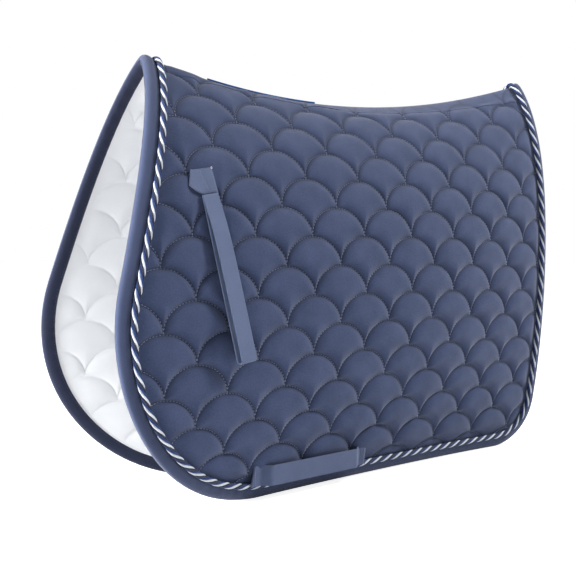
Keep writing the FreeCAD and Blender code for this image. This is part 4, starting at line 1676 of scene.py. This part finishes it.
@dataclass
class GirthKeeper:
    """Webbing strap sewn down at both ends across the flap's lower edge."""

    pattern: Pattern
    finishes: Finishes
    length: float = 190.0
    width: float = 25.0
    gap: float = 8.5
    tab: float = 13.0
    ramp: float = 10.0
    front_x: float = -192.0
    height: float = 32.0
    lift: float = 0.9
    tack_margin: float = 1.5
    rear_tack_width: float = 8.0
    end_slant: float = 5.0
    ramp_radius: float = 3.0
    stitch_pitch: float = 2.0
    stitch_radius: float = 0.45
    zigzag_rows: int = 3
    zigzag_step: float = 2.6
    zigzag_start: float = 1.6
    zigzag_turns: int = 15
    zigzag_reach: float = 1.1
    zigzag_lean: float = 1.2
    zigzag_pitch: float = 1.9
    zigzag_radius: float = 0.5
    frayed_threads: int = 26
    frayed_margin: float = 0.8
    frayed_radius: float = 0.3
    spread_seed: int = 11
    bend_seed: int = 3

    def place(self) -> Place:
        """Axes of the strap: an upright plane that clears the cloth and the cord."""
        size, drape = self.pattern.size, self.pattern.drape
        half = self.width / 2.0
        heights = self.height + half * np.arange(-4, 5) / 4.0

        def outmost(x: float, z: Array, lift: float) -> float:
            """y of the outmost place at x and at these heights, for things at this lift."""
            lifts = np.full(len(z), lift)
            at = drape.locate(np.full(len(z), x), z, lifts)
            return drape.raw_point(*at, lifts)[:, 1].min()

        def reach(x: float) -> float:
            """How far out the strap has to stand at x to clear the cloth and the cord."""
            cloth = outmost(x, heights, size.cloth_face)
            cord = outmost(x, np.array([size.cord_inset]), size.cord_lift) - size.cord_diameter / 2.0
            return min(cloth, cord) - self.lift

        rear_x = self.front_x + self.length
        front_y = min(reach(self.front_x), reach(self.front_x + self.tab))
        rear_y = min(reach(rear_x), reach(rear_x - self.tab))
        origin = np.array([self.front_x, front_y, self.height])
        return Place.at(origin, np.array([self.length, rear_y - front_y, 0.0]), np.array([0.0, -1.0, 0.0]))

    def build(self, side: Side) -> None:
        """Make the strap, its two tacks and its loose ends."""
        thread = [self.finishes.thread]
        place = self.place()
        strap = webbing(place, self._strap_path(), self.width, self.pattern.size.webbing_thickness,
                        self.end_slant)
        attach(sewn_piece(side, "girth_keeper", strap, [self.finishes.girth], "girth_strap"),
                side.body)
        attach(sewn_piece(side, "girth_front_stitching", self._front_row(place), thread,
                           "girth_front_tack"), side.body)
        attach(sewn_piece(side, "girth_rear_zigzag", self._zigzag(place), thread,
                           "girth_rear_tack"), side.body)
        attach(sewn_piece(side, "girth_frayed_end", self._fringe(place), [self.finishes.girth]),
                side.body)

    def _strap_path(self) -> Array:
        """(x, z) of the strap's middle: flat at both sewn ends, and raised between them for the girth."""
        low = self.pattern.size.webbing_thickness * 0.5
        high = self.gap + low
        rear, ramp = self.length - self.tab, self.tab + self.ramp
        return rounded_path([(0.0, low), (self.tab, low), (ramp, high), (self.length - ramp, high),
                             (rear, low), (self.length, low)], self.ramp_radius)

    @property
    def stitched_half(self) -> float:
        """Half the width that the tacks cover."""
        return self.width / 2.0 - self.tack_margin

    def _front_row(self, place: Place) -> Shell:
        """Straight row across the front end."""
        half = self.stitched_half
        return thread_line(place, [(3.0, -half), (3.4, half)], self.pattern.size.webbing_thickness * 1.25,
                           self.stitch_pitch, self.stitch_radius)

    def _zigzag(self, place: Place) -> Shell:
        """Zigzag rows side by side across the rear end, which lean with the webbing's cut."""
        half = self.stitched_half
        rear = self.length - self.tack_margin - self.rear_tack_width + self.zigzag_start
        y = np.linspace(-half, half, self.zigzag_turns)
        swing = np.where(np.arange(self.zigzag_turns) % 2, self.zigzag_reach, -self.zigzag_reach)
        x = rear + swing + self.zigzag_lean * y / half
        return joined([thread_line(place, list(zip(x + k * self.zigzag_step, y)),
                                   self.pattern.size.webbing_thickness * 1.3, self.zigzag_pitch,
                                   self.zigzag_radius) for k in range(self.zigzag_rows)])

    def _fringe(self, place: Place) -> Shell:
        """Frayed threads along the rear end's cut."""
        luck = np.random.default_rng(self.spread_seed)
        count = self.frayed_threads
        edge = self.stitched_half + self.frayed_margin
        level = self.pattern.size.webbing_thickness * 0.5
        starts = np.column_stack([np.full(count, self.length - 1.0), np.linspace(-edge, edge, count),
                                  np.full(count, level)])
        reach = np.column_stack([luck.uniform(1.2, 3.0, count), luck.normal(0.0, 0.5, count),
                                 luck.uniform(-0.2, 0.9, count)])
        return loose_ends(place, starts, reach, self.bend_seed, self.frayed_radius)


# --------------------------------------------------------------------------- studio


@dataclass(frozen=True)
class Softbox:
    """Square area lamp: its place, its width in metres and its power in watts."""

    name: str
    at: Spot
    width: float
    power: float


@dataclass
class Studio:
    """White floor, even white surroundings, soft lamps and the camera. Places are in metres."""

    eye: Spot = (-0.7672, -1.0020, 0.3107)
    target: Spot = (-0.0807, 0.0, 0.2523)
    roll: float = 0.46
    lens: float = 56.97
    sensor: float = 36.0
    floor_half: float = 12.0
    floor_shade: float = 0.86
    floor_glow: float = 0.85
    world_light: float = 0.22
    lamp_target: Spot = (0.0, 0.0, 0.25)
    lamps: tuple[Softbox, ...] = (
        Softbox("key_softbox", (1.7, -1.15, 2.2), 0.6, 60.0),
        Softbox("lining_softbox", (-2.3, 0.2, 0.8), 1.2, 98.0),
        Softbox("top_softbox", (0.3, 0.2, 2.3), 1.4, 6.0))

    def build(self) -> None:
        """Set up the whole studio."""
        self._camera()
        self._floor()
        self._world()
        for lamp in self.lamps:
            self._lamp(lamp)
        bpy.context.scene.view_settings.view_transform = "Standard"

    @staticmethod
    def _placed(name: str, data: bpy.types.ID) -> bpy.types.Object:
        """New object in the scene with this data."""
        made = bpy.data.objects.new(name, data)
        bpy.context.scene.collection.objects.link(made)
        return made

    def _camera(self) -> None:
        """Camera that looks at the target, rolled slightly."""
        data = bpy.data.cameras.new("camera")
        data.lens = self.lens
        data.sensor_width = self.sensor
        camera = self._placed("camera", data)
        ahead = (Vector(self.target) - Vector(self.eye)).normalized()
        right = ahead.cross(Vector((0.0, 0.0, 1.0))).normalized()
        up = right.cross(ahead)
        turn = math.radians(self.roll)
        side = right * math.cos(turn) + up * math.sin(turn)
        top = up * math.cos(turn) - right * math.sin(turn)
        camera.matrix_world = Matrix((
            (side.x, top.x, -ahead.x, self.eye[0]),
            (side.y, top.y, -ahead.y, self.eye[1]),
            (side.z, top.z, -ahead.z, self.eye[2]),
            (0.0, 0.0, 0.0, 1.0)))
        bpy.context.scene.camera = camera

    def _floor(self) -> None:
        """Large pale floor that keeps a faint shadow."""
        half, shade = self.floor_half, self.floor_shade
        mesh = bpy.data.meshes.new("floor")
        mesh.from_pydata([(-half, -half, 0.0), (half, -half, 0.0), (half, half, 0.0), (-half, half, 0.0)],
                         [], [(0, 1, 2, 3)])
        material = bpy.data.materials.new("white_floor")
        kit = NodeKit(material)
        plain = kit.node("ShaderNodeBsdfDiffuse", None, {"Color": (shade, shade, shade, 1.0)})
        glow = kit.node("ShaderNodeEmission", None, {
            "Color": WHITE, "Strength": self._seen(kit) * self.floor_glow})
        both = kit.node("ShaderNodeAddShader", None, {0: plain, 1: glow})
        kit.add("ShaderNodeOutputMaterial", None, {"Surface": both})
        mesh.materials.append(material)
        self._placed("floor", mesh)

    @staticmethod
    def _seen(kit: NodeKit) -> Signal:
        """1 for rays that show the surroundings to the camera, directly or by reflection."""
        rays = kit.add("ShaderNodeLightPath").outputs
        shown = Signal(kit, rays["Is Camera Ray"]) + Signal(kit, rays["Is Glossy Ray"])
        return (shown + Signal(kit, rays["Is Transmission Ray"])).capped(0.0, 1.0)

    def _world(self) -> None:
        """White surroundings, dimmer as a light than as they look."""
        world = bpy.data.worlds.new("surroundings")
        bpy.context.scene.world = world
        kit = NodeKit(world)
        strength = self._seen(kit) * (1.0 - self.world_light) + self.world_light
        light = kit.node("ShaderNodeBackground", None, {"Color": WHITE, "Strength": strength})
        kit.add("ShaderNodeOutputWorld", None, {"Surface": light})

    def _lamp(self, lamp: Softbox) -> None:
        """Area lamp that faces the pad."""
        data = bpy.data.lights.new(lamp.name, "AREA")
        data.size = lamp.width
        data.energy = lamp.power
        turn = (Vector(self.lamp_target) - Vector(lamp.at)).to_track_quat("-Z", "Y")
        self._placed(lamp.name, data).matrix_world = Matrix.Translation(lamp.at) @ turn.to_matrix().to_4x4()


class SaddlePad:
    """The whole pad, put together from its sub-assemblies."""

    def __init__(self) -> None:
        """Share one pattern, one set of finishes and one way of joining."""
        self.pattern = Pattern(PadSizes())
        self.finishes = Finishes()
        self.joining = Joining()
        self.billet = BilletLoop(self.pattern, self.finishes)
        self.girth = GirthKeeper(self.pattern, self.finishes)

    def build(self) -> None:
        """Make every piece."""
        presses = [self.billet.patch_press(), *self.billet.presses()]
        flap = QuiltedFlap(self.pattern, Quilting(), self.finishes, self.joining, presses)
        binding = EdgeBinding(self.pattern, self.finishes, self.joining)
        for side in Side:
            flap.build(side)
            binding.build(side)
            self.billet.build(side)
            self.girth.build(side)
        TrimCord(self.pattern, self.finishes, self.joining).build()
        SpineTapes(flap).build()


def main() -> None:
    """Load the frame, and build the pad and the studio."""
    logging.basicConfig(level=logging.INFO, format="%(message)s")
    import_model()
    SaddlePad().build()
    Studio().build()


if __name__ == "__main__":
    main()
